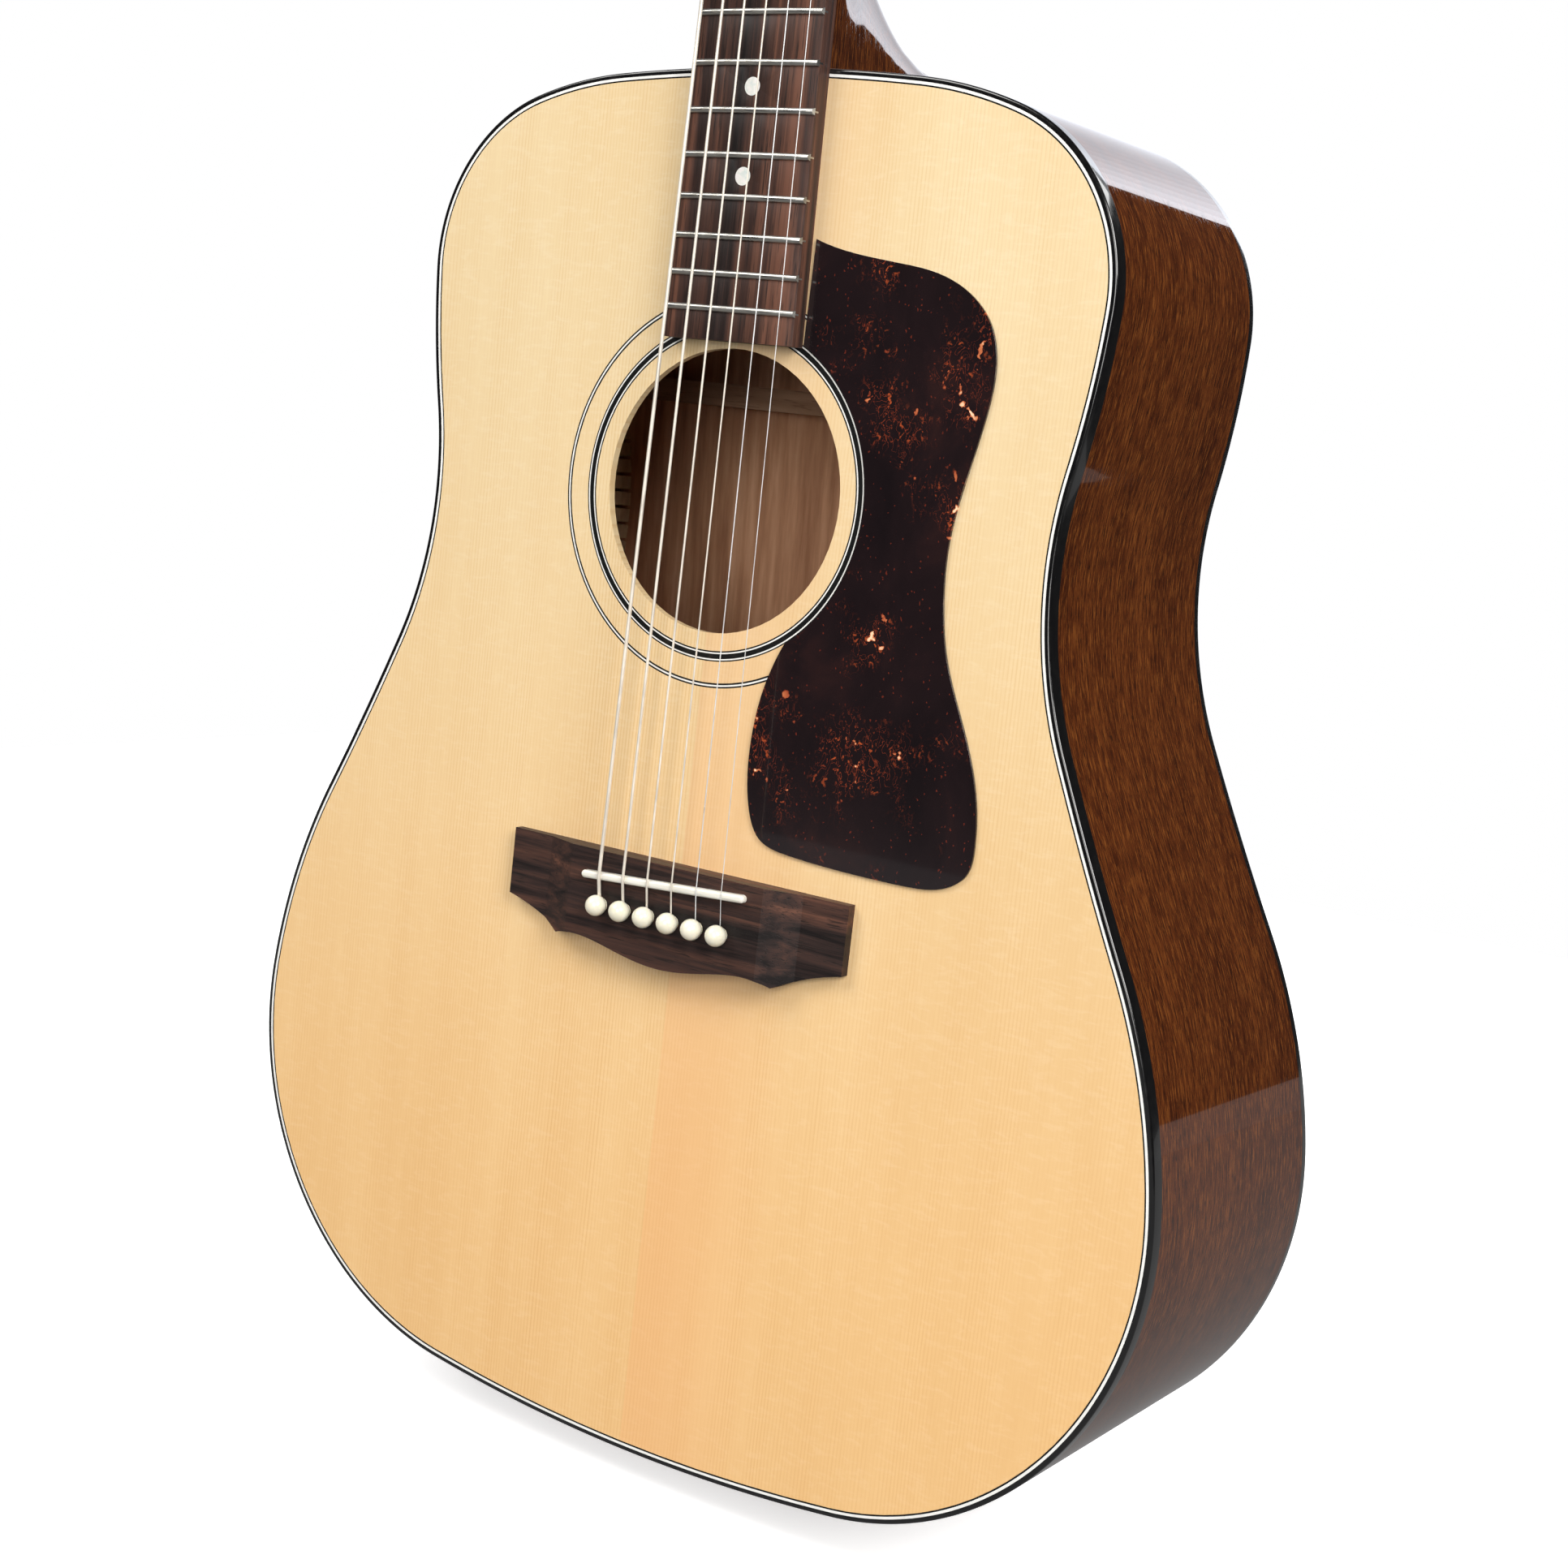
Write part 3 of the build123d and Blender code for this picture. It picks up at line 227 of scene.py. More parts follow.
def tidy_mesh(piece, merge=1e-6, smooth_angle=35):
    """Merge doubles, turn every face outwards and smooth all but the sharp edges."""
    work = bmesh.new()
    work.from_mesh(piece.data)
    bmesh.ops.remove_doubles(work, verts=work.verts, dist=merge)
    bmesh.ops.dissolve_degenerate(work, edges=work.edges, dist=1e-7)
    bmesh.ops.recalc_face_normals(work, faces=work.faces)
    for face in work.faces:
        face.smooth = True
    for edge in work.edges:
        edge.smooth = len(edge.link_faces) == 2 and edge.calc_face_angle(0) < math.radians(smooth_angle)
    work.to_mesh(piece.data)
    work.free()


def edge_strip(name, profile, step, halves):
    """Carry a profile of (inset, depth) points round the body's edge. A depth is a number or a
    function of z; halves is (1,) for the treble side, (-1,) for the bass side or both."""
    walk = edge_walk(step)
    path = []
    if 1 in halves:
        path += [(x, z, nx, nz, run) for x, z, nx, nz, run in walk]
    if -1 in halves:
        bass = [(-x, z, -nx, nz, -run) for x, z, nx, nz, run in walk]
        path = path + bass[::-1][1:-1] if path else bass
    whole = len(halves) == 2
    verts, uvs = [], []
    count = len(profile)
    for x, z, nx, nz, run in path:
        for inset, depth in profile:
            px, pz = x - nx * inset, z - nz * inset
            py = depth(pz) if callable(depth) else depth
            verts.append((px, py, pz))
            uvs.append((run, py + inset * 0.3))
    faces = []
    for i in range(len(path) if whole else len(path) - 1):
        j = (i + 1) % len(path)
        for k in range(count):
            n = (k + 1) % count
            faces.append((i * count + k, i * count + n, j * count + n, j * count + k))
    if not whole:
        faces.append(tuple(range(count)))
        faces.append(tuple((len(path) - 1) * count + k for k in range(count)))
    piece = new_piece(name, verts, faces, uvs)
    tidy_mesh(piece)
    return piece


def finish(name, **settings):
    """A material whose Principled shader takes the plain settings given, for detail to be added."""
    material = bpy.data.materials.new(name)
    material.use_nodes = True
    shader = material.node_tree.nodes["Principled BSDF"]
    for socket, value in settings.items():
        shader.inputs[socket.replace("_", " ")].default_value = value
    return material, material.node_tree, shader


def add(tree, kind, inputs=None, **options):
    """Add a node, set its options, and feed its inputs with values or with other nodes' outputs."""
    made = tree.nodes.new(kind)
    for option, value in options.items():
        setattr(made, option, value)
    for key, value in (inputs or {}).items():
        if isinstance(value, bpy.types.NodeSocket):
            tree.links.new(value, made.inputs[key])
        else:
            made.inputs[key].default_value = value
    return made


def sums(tree, operation, a, b=0.5, c=0.5, clamp=False):
    return add(tree, "ShaderNodeMath", {0: a, 1: b, 2: c}, operation=operation, use_clamp=clamp).outputs[0]


def blend(tree, factor, a, b, mode="MIX"):
    made = add(tree, "ShaderNodeMix", {0: factor, 6: a, 7: b}, data_type="RGBA", blend_type=mode)
    return made.outputs[2]


def noise(tree, vector, detail=3.0, rough=0.55, distortion=0.0):
    inputs = {"Vector": vector, "Scale": 1.0, "Detail": detail, "Roughness": rough, "Distortion": distortion}
    return add(tree, "ShaderNodeTexNoise", inputs).outputs["Fac"]


def span(tree, value, low, high, to_low=0.0, to_high=1.0, smooth=True):
    inputs = {"Value": value, "From Min": low, "From Max": high, "To Min": to_low, "To Max": to_high}
    kind = "SMOOTHSTEP" if smooth else "LINEAR"
    return add(tree, "ShaderNodeMapRange", inputs, interpolation_type=kind).outputs["Result"]


def ramp(tree, value, stops):
    """Colour ramp from (place, colour) stops."""
    made = add(tree, "ShaderNodeValToRGB", {"Fac": value})
    elements = made.color_ramp.elements
    while len(elements) < len(stops):
        elements.new(0.5)
    for element, (place, tint) in zip(elements, stops):
        element.position = place
        element.color = (*tint, 1)
    return made.outputs["Color"]


def colour(tree, shader, value, stops):
    """Colour the shader by a ramp of the value, from (place, colour) stops."""
    tree.links.new(ramp(tree, value, stops), shader.inputs["Base Color"])


def scaled(tree, scale, source="Object", offset=(0, 0, 0)):
    """Object or UV coordinates in metres, times a scale for each axis."""
    place = add(tree, "ShaderNodeTexCoord").outputs[source]
    return add(tree, "ShaderNodeMapping", {"Vector": place, "Scale": scale, "Location": offset}).outputs[0]


def bump(tree, shader, height, depth, distance=1.0, socket="Normal"):
    made = add(tree, "ShaderNodeBump", {"Height": height, "Strength": depth, "Distance": distance * mm})
    tree.links.new(made.outputs["Normal"], shader.inputs[socket])


def mahogany(name, streak, pore, source="Object", tone=1.0, gloss=1.0):
    """Dark red-brown mahogany: ribbon streaks and short open pores along the grain, under lacquer.
    streak and pore are the pattern scales for each axis, small along the grain and large across it."""
    material, tree, shader = finish(name, Roughness=0.5, Coat_Weight=gloss, Coat_Roughness=0.03, IOR=1.45)
    shader.inputs["Specular IOR Level"].default_value = 0.0
    shader.inputs["Coat IOR"].default_value = 1.5
    broad = noise(tree, scaled(tree, [s * 0.12 for s in streak], source), 3.0, 0.6)
    fine = noise(tree, scaled(tree, streak, source), 4.0, 0.65, 0.3)
    fibre = noise(tree, scaled(tree, [s * 2.6 for s in streak], source, (3, 7, 1)), 3.0, 0.7)
    mixed = sums(tree, "MULTIPLY_ADD", broad, 0.45, sums(tree, "MULTIPLY", fine, 0.55))
    wood = ramp(tree, mixed, [
        (0.34, (0.038 * tone, 0.0070 * tone, 0.0013 * tone)),
        (0.46, (0.076 * tone, 0.0165 * tone, 0.0030 * tone)),
        (0.56, (0.112 * tone, 0.0270 * tone, 0.0050 * tone)),
        (0.70, (0.170 * tone, 0.0460 * tone, 0.0090 * tone)),
    ])
    lighter = span(tree, fibre, 0.50, 0.66, 0.0, 0.75)
    wood = blend(tree, lighter, wood, (0.270 * tone, 0.0860 * tone, 0.0160 * tone, 1))
    darker = span(tree, sums(tree, "SUBTRACT", 1.0, fibre), 0.52, 0.66, 0.0, 0.75)
    wood = blend(tree, darker, wood, (0.020 * tone, 0.0045 * tone, 0.0010 * tone, 1))
    pores = span(tree, noise(tree, scaled(tree, pore, source, (11, 5, 9)), 2.0, 0.6), 0.57, 0.66)
    wood = blend(tree, sums(tree, "MULTIPLY", pores, 0.8), wood, (0.012, 0.0035, 0.0015, 1))
    tree.links.new(wood, shader.inputs["Base Color"])
    ripple = noise(tree, scaled(tree, (38, 38, 38)), 2.0, 0.5)
    bump(tree, shader, sums(tree, "MULTIPLY_ADD", pores, -0.25, ripple), 0.04, 0.2, "Coat Normal")
    bump(tree, shader, fine, 0.12, 0.05)
    return material


def bare_mahogany(name, streak, source="Object"):
    """The same wood inside the body: sanded, unfilled and without lacquer, so paler and matt."""
    material, tree, shader = finish(name, Roughness=0.8)
    shader.inputs["Specular IOR Level"].default_value = 0.25
    broad = noise(tree, scaled(tree, [s * 0.25 for s in streak], source), 2.0)
    fine = noise(tree, scaled(tree, streak, source), 5.0, 0.62)
    mixed = sums(tree, "MULTIPLY_ADD", broad, 0.5, sums(tree, "MULTIPLY", fine, 0.5))
    wood = ramp(tree, mixed, [
        (0.32, (0.27, 0.145, 0.085)), (0.50, (0.40, 0.235, 0.145)), (0.68, (0.52, 0.335, 0.22))])
    pores = span(tree, noise(tree, scaled(tree, [s * 6 for s in streak], source, (2, 4, 6)), 2.0), 0.60, 0.68)
    wood = blend(tree, sums(tree, "MULTIPLY", pores, 0.5), wood, (0.16, 0.075, 0.04, 1))
    tree.links.new(wood, shader.inputs["Base Color"])
    bump(tree, shader, fine, 0.2, 0.1)
    return material


sides_finish = mahogany("mahogany_sides", (45, 520, 0), (190, 1500, 0), "UV")
sides_inside = bare_mahogany("mahogany_sides_inside", (12, 330, 0), "UV")
for sign, node in ((-1, "side_bass"), (1, "side_treble")):
    rebated = [
        (0, front + binding_height), (binding_width, front + binding_height),
        (binding_width, front + top_wall), (side_wall, front + top_wall),
        (side_wall, below_back(back_wall)), (binding_width, below_back(back_wall)),
        (binding_width, below_back(back_binding_height)), (0, below_back(back_binding_height)),
    ]
    strip = edge_strip(f"{node}_bent", rebated, edge_step, (sign,))
    strip.data.materials.append(sides_finish)
    strip.data.materials.append(sides_inside)
    for face in strip.data.polygons:
        from_middle = face.center.z - (body_top + body_bottom) / 2
        outward = face.center.x * face.normal.x + from_middle * face.normal.z
        if abs(face.normal.y) < 0.5 and outward < 0:
            face.material_index = 1
    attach(strip, "root")
    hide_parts(node)

# ---------------------------------------------------------------------------------------------
# Blocks and end graft: solid mahogany blocks that the neck and the strap button hold in, and a black
# plastic wedge let in where the sides meet at the tail.
# ---------------------------------------------------------------------------------------------
block_finish, tree, shader = finish("block_wood", Roughness=0.7)
grain = noise(tree, scaled(tree, (160, 14, 160)), 4.0, 0.6)
colour(tree, shader, grain, [
    (0.3, (0.20, 0.095, 0.05)), (0.6, (0.36, 0.20, 0.115)), (0.8, (0.44, 0.27, 0.17))])
bump(tree, shader, grain, 0.3, 0.3)


def repaint(node, material, weld=False, round_mm=0.0, angle=40):
    """Give a CAD node its finish; its edges can be welded smooth and slightly rounded."""
    piece = nodes[node]
    piece.data.materials.clear()
    piece.data.materials.append(material)
    if weld:
        piece.modifiers.new("weld", "WELD").merge_threshold = 2e-6
        if round_mm:
            rounding = piece.modifiers.new("round", "BEVEL")
            rounding.width = round_mm * mm
            rounding.segments = 2
            rounding.limit_method = "ANGLE"
            rounding.angle_limit = math.radians(angle)
            rounding.harden_normals = True


for node in ("neck_block", "end_block"):
    repaint(node, block_finish)


# ---------------------------------------------------------------------------------------------
# Linings: basswood strips sawn nearly through every few millimetres so that they bend, glued round
# the inside of the sides to widen the gluing edge for the top and back. Each tooth is its own block.
# ---------------------------------------------------------------------------------------------
lining_finish, tree, shader = finish("kerfed_basswood", Roughness=0.75)
grain = noise(tree, scaled(tree, (60, 220, 60)), 4.0, 0.6)
colour(tree, shader, grain, [(0.3, (0.50, 0.34, 0.19)), (0.6, (0.66, 0.48, 0.29)), (0.8, (0.74, 0.57, 0.37))])
bump(tree, shader, grain, 0.3, 0.2)

lining_pitch = 6.7 * mm
kerf = 1.2 * mm
lining_width = 6.0 * mm
lining_height = 14.0 * mm
lining_tip = 1.2 * mm
lining_square_share = 0.45
block_half_width = 38.5 * mm


def kerf_block():
    """One tooth of the strip: square on the glued edge, sloping away to the inside of the body."""
    half = (lining_pitch - kerf) / 2
    wide, high = lining_width, lining_height
    section = [(0, 0), (0, high), (-lining_tip, high), (-wide, high * lining_square_share), (-wide, 0)]
    verts = [(s * half, y, inset) for s in (-1, 1) for inset, y in section]
    count = len(section)
    faces = [tuple(range(count)), tuple(range(2 * count - 1, count - 1, -1))]
    faces += [(k, k + count, (k + 1) % count + count, (k + 1) % count) for k in range(count)]
    piece = new_piece("kerf_block", verts, faces)
    tidy_mesh(piece, smooth_angle=10)
    return piece


def kerfing_tree():
    """Geometry nodes: the block repeated at an even pitch along the edge, square to its run."""
    group = bpy.data.node_groups.new("kerfing", "GeometryNodeTree")
    face = group.interface
    face.new_socket("Geometry", in_out="INPUT", socket_type="NodeSocketGeometry")
    face.new_socket("Block", in_out="INPUT", socket_type="NodeSocketObject")
    face.new_socket("Pitch", in_out="INPUT", socket_type="NodeSocketFloat")
    face.new_socket("Material", in_out="INPUT", socket_type="NodeSocketMaterial")
    face.new_socket("Geometry", in_out="OUTPUT", socket_type="NodeSocketGeometry")
    given = group.nodes.new("NodeGroupInput").outputs
    curve = add(group, "GeometryNodeMeshToCurve", {"Mesh": given["Geometry"]})
    spaced = {"Curve": curve.outputs[0], "Length": given["Pitch"]}
    even = add(group, "GeometryNodeResampleCurve", spaced, mode="LENGTH")
    block = add(group, "GeometryNodeObjectInfo", {"Object": given["Block"]})
    tangent = add(group, "GeometryNodeInputTangent")
    along = {"Vector": tangent.outputs[0]}
    turn = add(group, "FunctionNodeAlignEulerToVector", along, axis="X", pivot_axis="Y")
    placed = add(group, "GeometryNodeInstanceOnPoints", {
        "Points": even.outputs[0], "Instance": block.outputs["Geometry"], "Rotation": turn.outputs[0]})
    solid = add(group, "GeometryNodeRealizeInstances", {"Geometry": placed.outputs[0]})
    paint = {"Geometry": solid.outputs[0], "Material": given["Material"]}
    painted = add(group, "GeometryNodeSetMaterial", paint)
    out = group.nodes.new("NodeGroupOutput")
    group.links.new(painted.outputs[0], out.inputs[0])
    return group


def apply_nodes(piece, group, **values):
    """Run a geometry-nodes tree on a piece with named inputs and keep the plain mesh it makes."""
    modifier = piece.modifiers.new("nodes", "NODES")
    modifier.node_group = group
    for socket in group.interface.items_tree:
        if socket.in_out == "INPUT" and socket.name in values:
            modifier[socket.identifier] = values[socket.name]
    graph = bpy.context.evaluated_depsgraph_get()
    made = bpy.data.meshes.new_from_object(piece.evaluated_get(graph))
    piece.modifiers.clear()
    piece.data = made
    return piece


def lining(name, node, depth):
    """Kerfed strip on each side of the body, from the neck block to the end block."""
    block = kerf_block()
    if name == "back_kerfing":
        for vertex in block.data.vertices:
            vertex.co.y = -vertex.co.y
        tidy_mesh(block, smooth_angle=10)
    made = []
    for sign in (-1, 1):
        path = []
        for x, z, nx, nz, run in edge_walk(3.0 * mm):
            if x > block_half_width:
                px, pz = x - nx * side_wall, z - nz * side_wall
                path.append((sign * px, depth(pz), pz))
        if sign < 0:
            path.reverse()
        piece = new_piece(f"{name}_{'treble' if sign > 0 else 'bass'}", [], [])
        work = bmesh.new()
        corners = [work.verts.new(p) for p in path]
        for a, b in zip(corners, corners[1:]):
            work.edges.new((a, b))
        work.to_mesh(piece.data)
        work.free()
        made.append(apply_nodes(piece, kerfing, Block=block, Pitch=lining_pitch, Material=lining_finish))
    bpy.data.objects.remove(block)
    for piece in made:
        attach(piece, "root")
    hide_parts(node)
    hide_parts(node)


kerfing = kerfing_tree()
lining("top_kerfing", "top_lining", lambda z: front + top_wall)
lining("back_kerfing", "back_lining", below_back(back_wall))

# ---------------------------------------------------------------------------------------------
# Back: two book-matched mahogany plates, joined down the middle, braced inside and lacquered outside.
# ---------------------------------------------------------------------------------------------
back_finish = mahogany("mahogany_back", (480, 480, 40), (1500, 1500, 170))
tree = back_finish.node_tree
place = add(tree, "ShaderNodeTexCoord").outputs["Object"]
slope = (depth_at_tail - depth_at_neck) / (body_top - body_bottom)
square = (0, 1, slope)
height = add(tree, "ShaderNodeVectorMath", {0: place, 1: square}, operation="DOT_PRODUCT").outputs["Value"]
inner_face = back_plane(0) - back_wall / 2
is_inside = sums(tree, "LESS_THAN", height, inner_face)
lacquered = tree.nodes["Principled BSDF"]
bare = add(tree, "ShaderNodeBsdfPrincipled", {"Roughness": 0.8})
grain = noise(tree, scaled(tree, (150, 150, 5)), 5.0, 0.62)
bare_tones = [(0.34, (0.40, 0.185, 0.095)), (0.50, (0.56, 0.285, 0.155)), (0.66, (0.70, 0.390, 0.230))]
colour(tree, bare, grain, bare_tones)
either = add(tree, "ShaderNodeMixShader", {0: is_inside, 1: lacquered.outputs[0], 2: bare.outputs[0]})
tree.links.new(either.outputs[0], tree.nodes["Material Output"].inputs["Surface"])
repaint("back", back_finish)
repaint("back_strip", bare_mahogany("back_strip_wood", (20, 20, 240)))

# ---------------------------------------------------------------------------------------------
# Braces and bridge plate: sawn bars and a thin patch glued to the inside, left bare and sanded. Those
# under the top are spruce and those across the back are mahogany.
# ---------------------------------------------------------------------------------------------
brace_finish, tree, shader = finish("brace_spruce", Roughness=0.62)
grain = noise(tree, scaled(tree, (90, 420, 90)), 4.0, 0.6)
colour(tree, shader, grain, [
    (0.3, (0.50, 0.35, 0.20)), (0.55, (0.66, 0.49, 0.30)), (0.8, (0.78, 0.62, 0.42))])
bump(tree, shader, grain, 0.3, 0.2)
for node in ("soundboard_braces", "bridge_plate"):
    repaint(node, brace_finish)
repaint("back_braces", bare_mahogany("back_brace_wood", (17, 260, 260)))

# ---------------------------------------------------------------------------------------------
# Soundboard: two book-matched halves of close-grained spruce under clear gloss lacquer. The grain runs
# with the strings, with faint silk across it and a warmer band by the seam; painted shading makes it paler
# towards the neck and deeper and warmer towards the tail.
# ---------------------------------------------------------------------------------------------
top_finish, tree, shader = finish("spruce_top", Roughness=0.38, Coat_Weight=0.55, Coat_Roughness=0.06)
place = add(tree, "ShaderNodeTexCoord").outputs["Object"]
axes = add(tree, "ShaderNodeSeparateXYZ", {0: place}).outputs
from_seam = sums(tree, "ABSOLUTE", axes["X"])
wander = sums(tree, "MULTIPLY", noise(tree, scaled(tree, (9, 0, 3.5)), 2.0), 0.006)
spacing = sums(tree, "MULTIPLY", noise(tree, scaled(tree, (55, 0, 0.6)), 1.0), 0.0030)
grown = sums(tree, "ADD", sums(tree, "ADD", from_seam, wander), spacing)
year_ring = 1.5 * mm
ring_phase = sums(tree, "FRACT", sums(tree, "DIVIDE", grown, year_ring))
darkens, lightens = span(tree, ring_phase, 0.45, 0.86), span(tree, ring_phase, 0.90, 1.0, 1.0, 0.0)
late_wood = sums(tree, "MULTIPLY", darkens, lightens)
strength = span(tree, noise(tree, scaled(tree, (70, 0, 2.2), offset=(4, 0, 2)), 3.0), 0.32, 0.68, 0.15, 1.0)
near_seam = span(tree, from_seam, 0.02, 0.16, 1.0, 0.55)
late_wood = sums(tree, "MULTIPLY", sums(tree, "MULTIPLY", late_wood, strength), near_seam)
broad = noise(tree, scaled(tree, (16, 0, 2.6), offset=(7, 0, 3)), 4.0, 0.6)
fibre = noise(tree, scaled(tree, (1100, 0, 60)), 3.0, 0.7)
silk = noise(tree, scaled(tree, (120, 0, 420), offset=(1, 0, 5)), 3.0, 0.6, 0.6)
wood = ramp(tree, broad, [
    (0.25, (0.775, 0.530, 0.255)),
    (0.50, (0.825, 0.590, 0.305)),
    (0.75, (0.860, 0.640, 0.350)),
])
wood = blend(tree, sums(tree, "MULTIPLY", late_wood, 0.62), wood, (0.690, 0.400, 0.155, 1))
wood = blend(tree, span(tree, fibre, 0.30, 0.75, 0.0, 0.22), wood, (0.720, 0.450, 0.205, 1))
wood = blend(tree, span(tree, silk, 0.46, 0.72, 0.0, 0.20), wood, (0.900, 0.720, 0.470, 1))
past_seam, fades = span(tree, axes["X"], 0.0, 0.0006), span(tree, axes["X"], 0.010, 0.070, 1.0, 0.0)
warm = sums(tree, "MULTIPLY", past_seam, fades)
wood = blend(tree, sums(tree, "MULTIPLY", warm, 0.45), wood, (0.830, 0.490, 0.240, 1))
# Painted shading: the top is paler towards the neck and deeper and warmer towards the tail, as if the light
# falls off down the body.
painted_light_falloff = ramp(tree, span(tree, axes["Z"], 0.06, 0.46), [
    (0.0, (1.05, 0.93, 0.80)), (0.45, (1.02, 1.00, 1.00)), (1.0, (0.98, 1.07, 1.22))])
wood = blend(tree, 1.0, wood, painted_light_falloff, "MULTIPLY")
tree.links.new(wood, shader.inputs["Base Color"])
bump(tree, shader, late_wood, 0.08, 0.05)
bump(tree, shader, noise(tree, scaled(tree, (45, 45, 45)), 2.0), 0.03, 0.2, "Coat Normal")
repaint("soundboard", top_finish)

# ---------------------------------------------------------------------------------------------
# Bindings: black plastic strips bent into the rebates at both edges of the sides, their outer
# corners scraped round and buffed.
# ---------------------------------------------------------------------------------------------
black_finish, tree, shader = finish("black_binding", Roughness=0.18, Coat_Weight=0.6, Coat_Roughness=0.03)
wear = noise(tree, scaled(tree, (220, 220, 220)), 4.0, 0.6)
colour(tree, shader, wear, [(0.3, (0.0025, 0.0025, 0.003)), (0.8, (0.0060, 0.0055, 0.0055))])
tree.links.new(span(tree, wear, 0.3, 0.8, 0.14, 0.24), shader.inputs["Roughness"])
bump(tree, shader, noise(tree, scaled(tree, (60, 60, 60)), 2.0), 0.04, 0.2, "Coat Normal")

corner = 0.9 * mm
rounded_corner = [
    (corner * (1 - math.sin(a)), corner * (1 - math.cos(a))) for a in (k * math.pi / 10 for k in range(6))
]
top_profile = [(inset, front + drop) for inset, drop in reversed(rounded_corner)]
top_profile = [(0, front + binding_height)] + top_profile
top_profile += [(binding_width, front), (binding_width, front + binding_height)]
back_profile = [(binding_width, below_back(back_binding_height)), (binding_width, below_back(0))]
back_profile += [(inset, below_back(drop)) for inset, drop in rounded_corner]
back_profile += [(0, below_back(back_binding_height))]
for name, node, profile in (
    ("top_binding_strip", "top_binding", top_profile),
    ("back_binding_strip", "back_binding", back_profile),
):
    strip = edge_strip(name, profile, edge_step, (1, -1))
    strip.data.materials.append(black_finish)
    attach(strip, "root")
    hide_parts(node)
repaint("end_graft", black_finish)
repaint("heel_cap", black_finish, weld=True, round_mm=0.5)

# ---------------------------------------------------------------------------------------------
# Purfling and rosette: strips of black and white plastic glued side by side, set in a channel inside
# the binding and in two rings round the sound hole, then scraped level with the top.
# ---------------------------------------------------------------------------------------------
white_finish, tree, shader = finish("white_line", Roughness=0.35, Coat_Weight=0.55, Coat_Roughness=0.06)
cloud = noise(tree, scaled(tree, (300, 300, 300)), 3.0)
colour(tree, shader, cloud, [(0.3, (0.82, 0.81, 0.78)), (0.7, (0.92, 0.91, 0.88))])

purfling_depth = 1.8 * mm
purfling_width = 1.5 * mm
white_line = 0.95 * mm
for name, low, high, material in (
    ("purfling_white", binding_width, binding_width + white_line, white_finish),
    ("purfling_black", binding_width + white_line, binding_width + purfling_width, black_finish),
):
    profile = [(low, front), (high, front), (high, front + purfling_depth), (low, front + purfling_depth)]
    line = edge_strip(name, profile, edge_step, (1, -1))
    line.data.materials.append(material)
    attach(line, "root")
    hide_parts("top_purfling")

hole_z = (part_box("rosette_inner")[0].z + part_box("rosette_inner")[1].z) / 2
ring_black = (0.004, 0.004, 0.004)
ring_white = (0.92, 0.91, 0.87)


def inlaid_rings(name, first, widths):
    """Black and white rings by distance from the middle of the sound hole, black first."""
    material, tree, shader = finish(name, Roughness=0.35, Coat_Weight=0.55, Coat_Roughness=0.06)
    place = add(tree, "ShaderNodeTexCoord").outputs["Object"]
    to_hole = {"Vector": place, "Location": (0, 0, -hole_z), "Scale": (1, 0, 1)}
    centred = add(tree, "ShaderNodeMapping", to_hole)
    distance = add(tree, "ShaderNodeVectorMath", {0: centred.outputs[0]}, operation="LENGTH").outputs["Value"]
    across = span(tree, distance, first * mm, (first + sum(widths)) * mm, 0, 1, smooth=False)
    stops, edge = [], 0.0
    for k, width in enumerate(widths):
        stops.append((edge / sum(widths), ring_black if k % 2 == 0 else ring_white))
        edge += width
    colours = add(tree, "ShaderNodeValToRGB", {"Fac": across})
    colours.color_ramp.interpolation = "CONSTANT"
    while len(colours.color_ramp.elements) < len(stops):
        colours.color_ramp.elements.new(0.5)
    for element, (where, tint) in zip(colours.color_ramp.elements, stops):
        element.position = where
        element.color = (*tint, 1)
    speckle = span(tree, noise(tree, scaled(tree, (400, 400, 400)), 3.0), 0.3, 0.7, 0.86, 1.0)
    toned = blend(tree, 1.0, colours.outputs["Color"], speckle, "MULTIPLY")
    tree.links.new(toned, shader.inputs["Base Color"])
    return material


repaint("rosette_inner", inlaid_rings("inner_rings", 57.2, (0.5, 0.5, 1.8, 0.5, 0.5)))
repaint("rosette_outer", inlaid_rings("outer_rings", 68.8, (0.6, 0.6, 0.6)))

# ---------------------------------------------------------------------------------------------
# Neck: one carved piece of mahogany with a rounded back, a heel that sweeps down to the body and a
# headstock tilted back; glued into the body with a dovetail and lacquered like the sides.
# ---------------------------------------------------------------------------------------------
nut_low, nut_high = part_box("nut")
nut_half = (nut_high.x - nut_low.x) / 2
head_z = nut_high.z
taper = 0.0146
shaft_depth_low, shaft_depth_high = 17.0, 14.5
heel_depth = depth_at_neck - 2.0 * mm
heel_foot_reach, heel_sweep = 16.0, 90.0
heel_foot_half, heel_spread, heel_power = 14.0, 13.0, 1.8
heel_into_shaft, heel_side_blend = 12 * mm, 5 * mm
edge_square_depth = 7 * mm
neck_into_body = 1.6 * mm
head_tilt = math.radians(14.0)
head_length = 188.0 * mm
head_thick = 14.0 * mm
head_low_half, head_high_half = 34.5 * mm, 37.5 * mm
head_flare = 34.0 * mm
head_crown = 6.0 * mm
head_crown_run = 30 * mm
ring_size = 14


def neck_half_width(z):
    return nut_half + taper * (nut_low.z - z)


def heel_reach(depth):
    return (heel_foot_reach + heel_sweep * (1 - depth / heel_depth) ** 2) * mm


def heel_half(depth):
    return (heel_foot_half + heel_spread * (1 - depth / heel_depth) ** heel_power) * mm


def smooth_max(a, b, k):
    overlap = max(k - abs(a - b), 0) / k
    return max(a, b) + overlap * overlap * k / 4


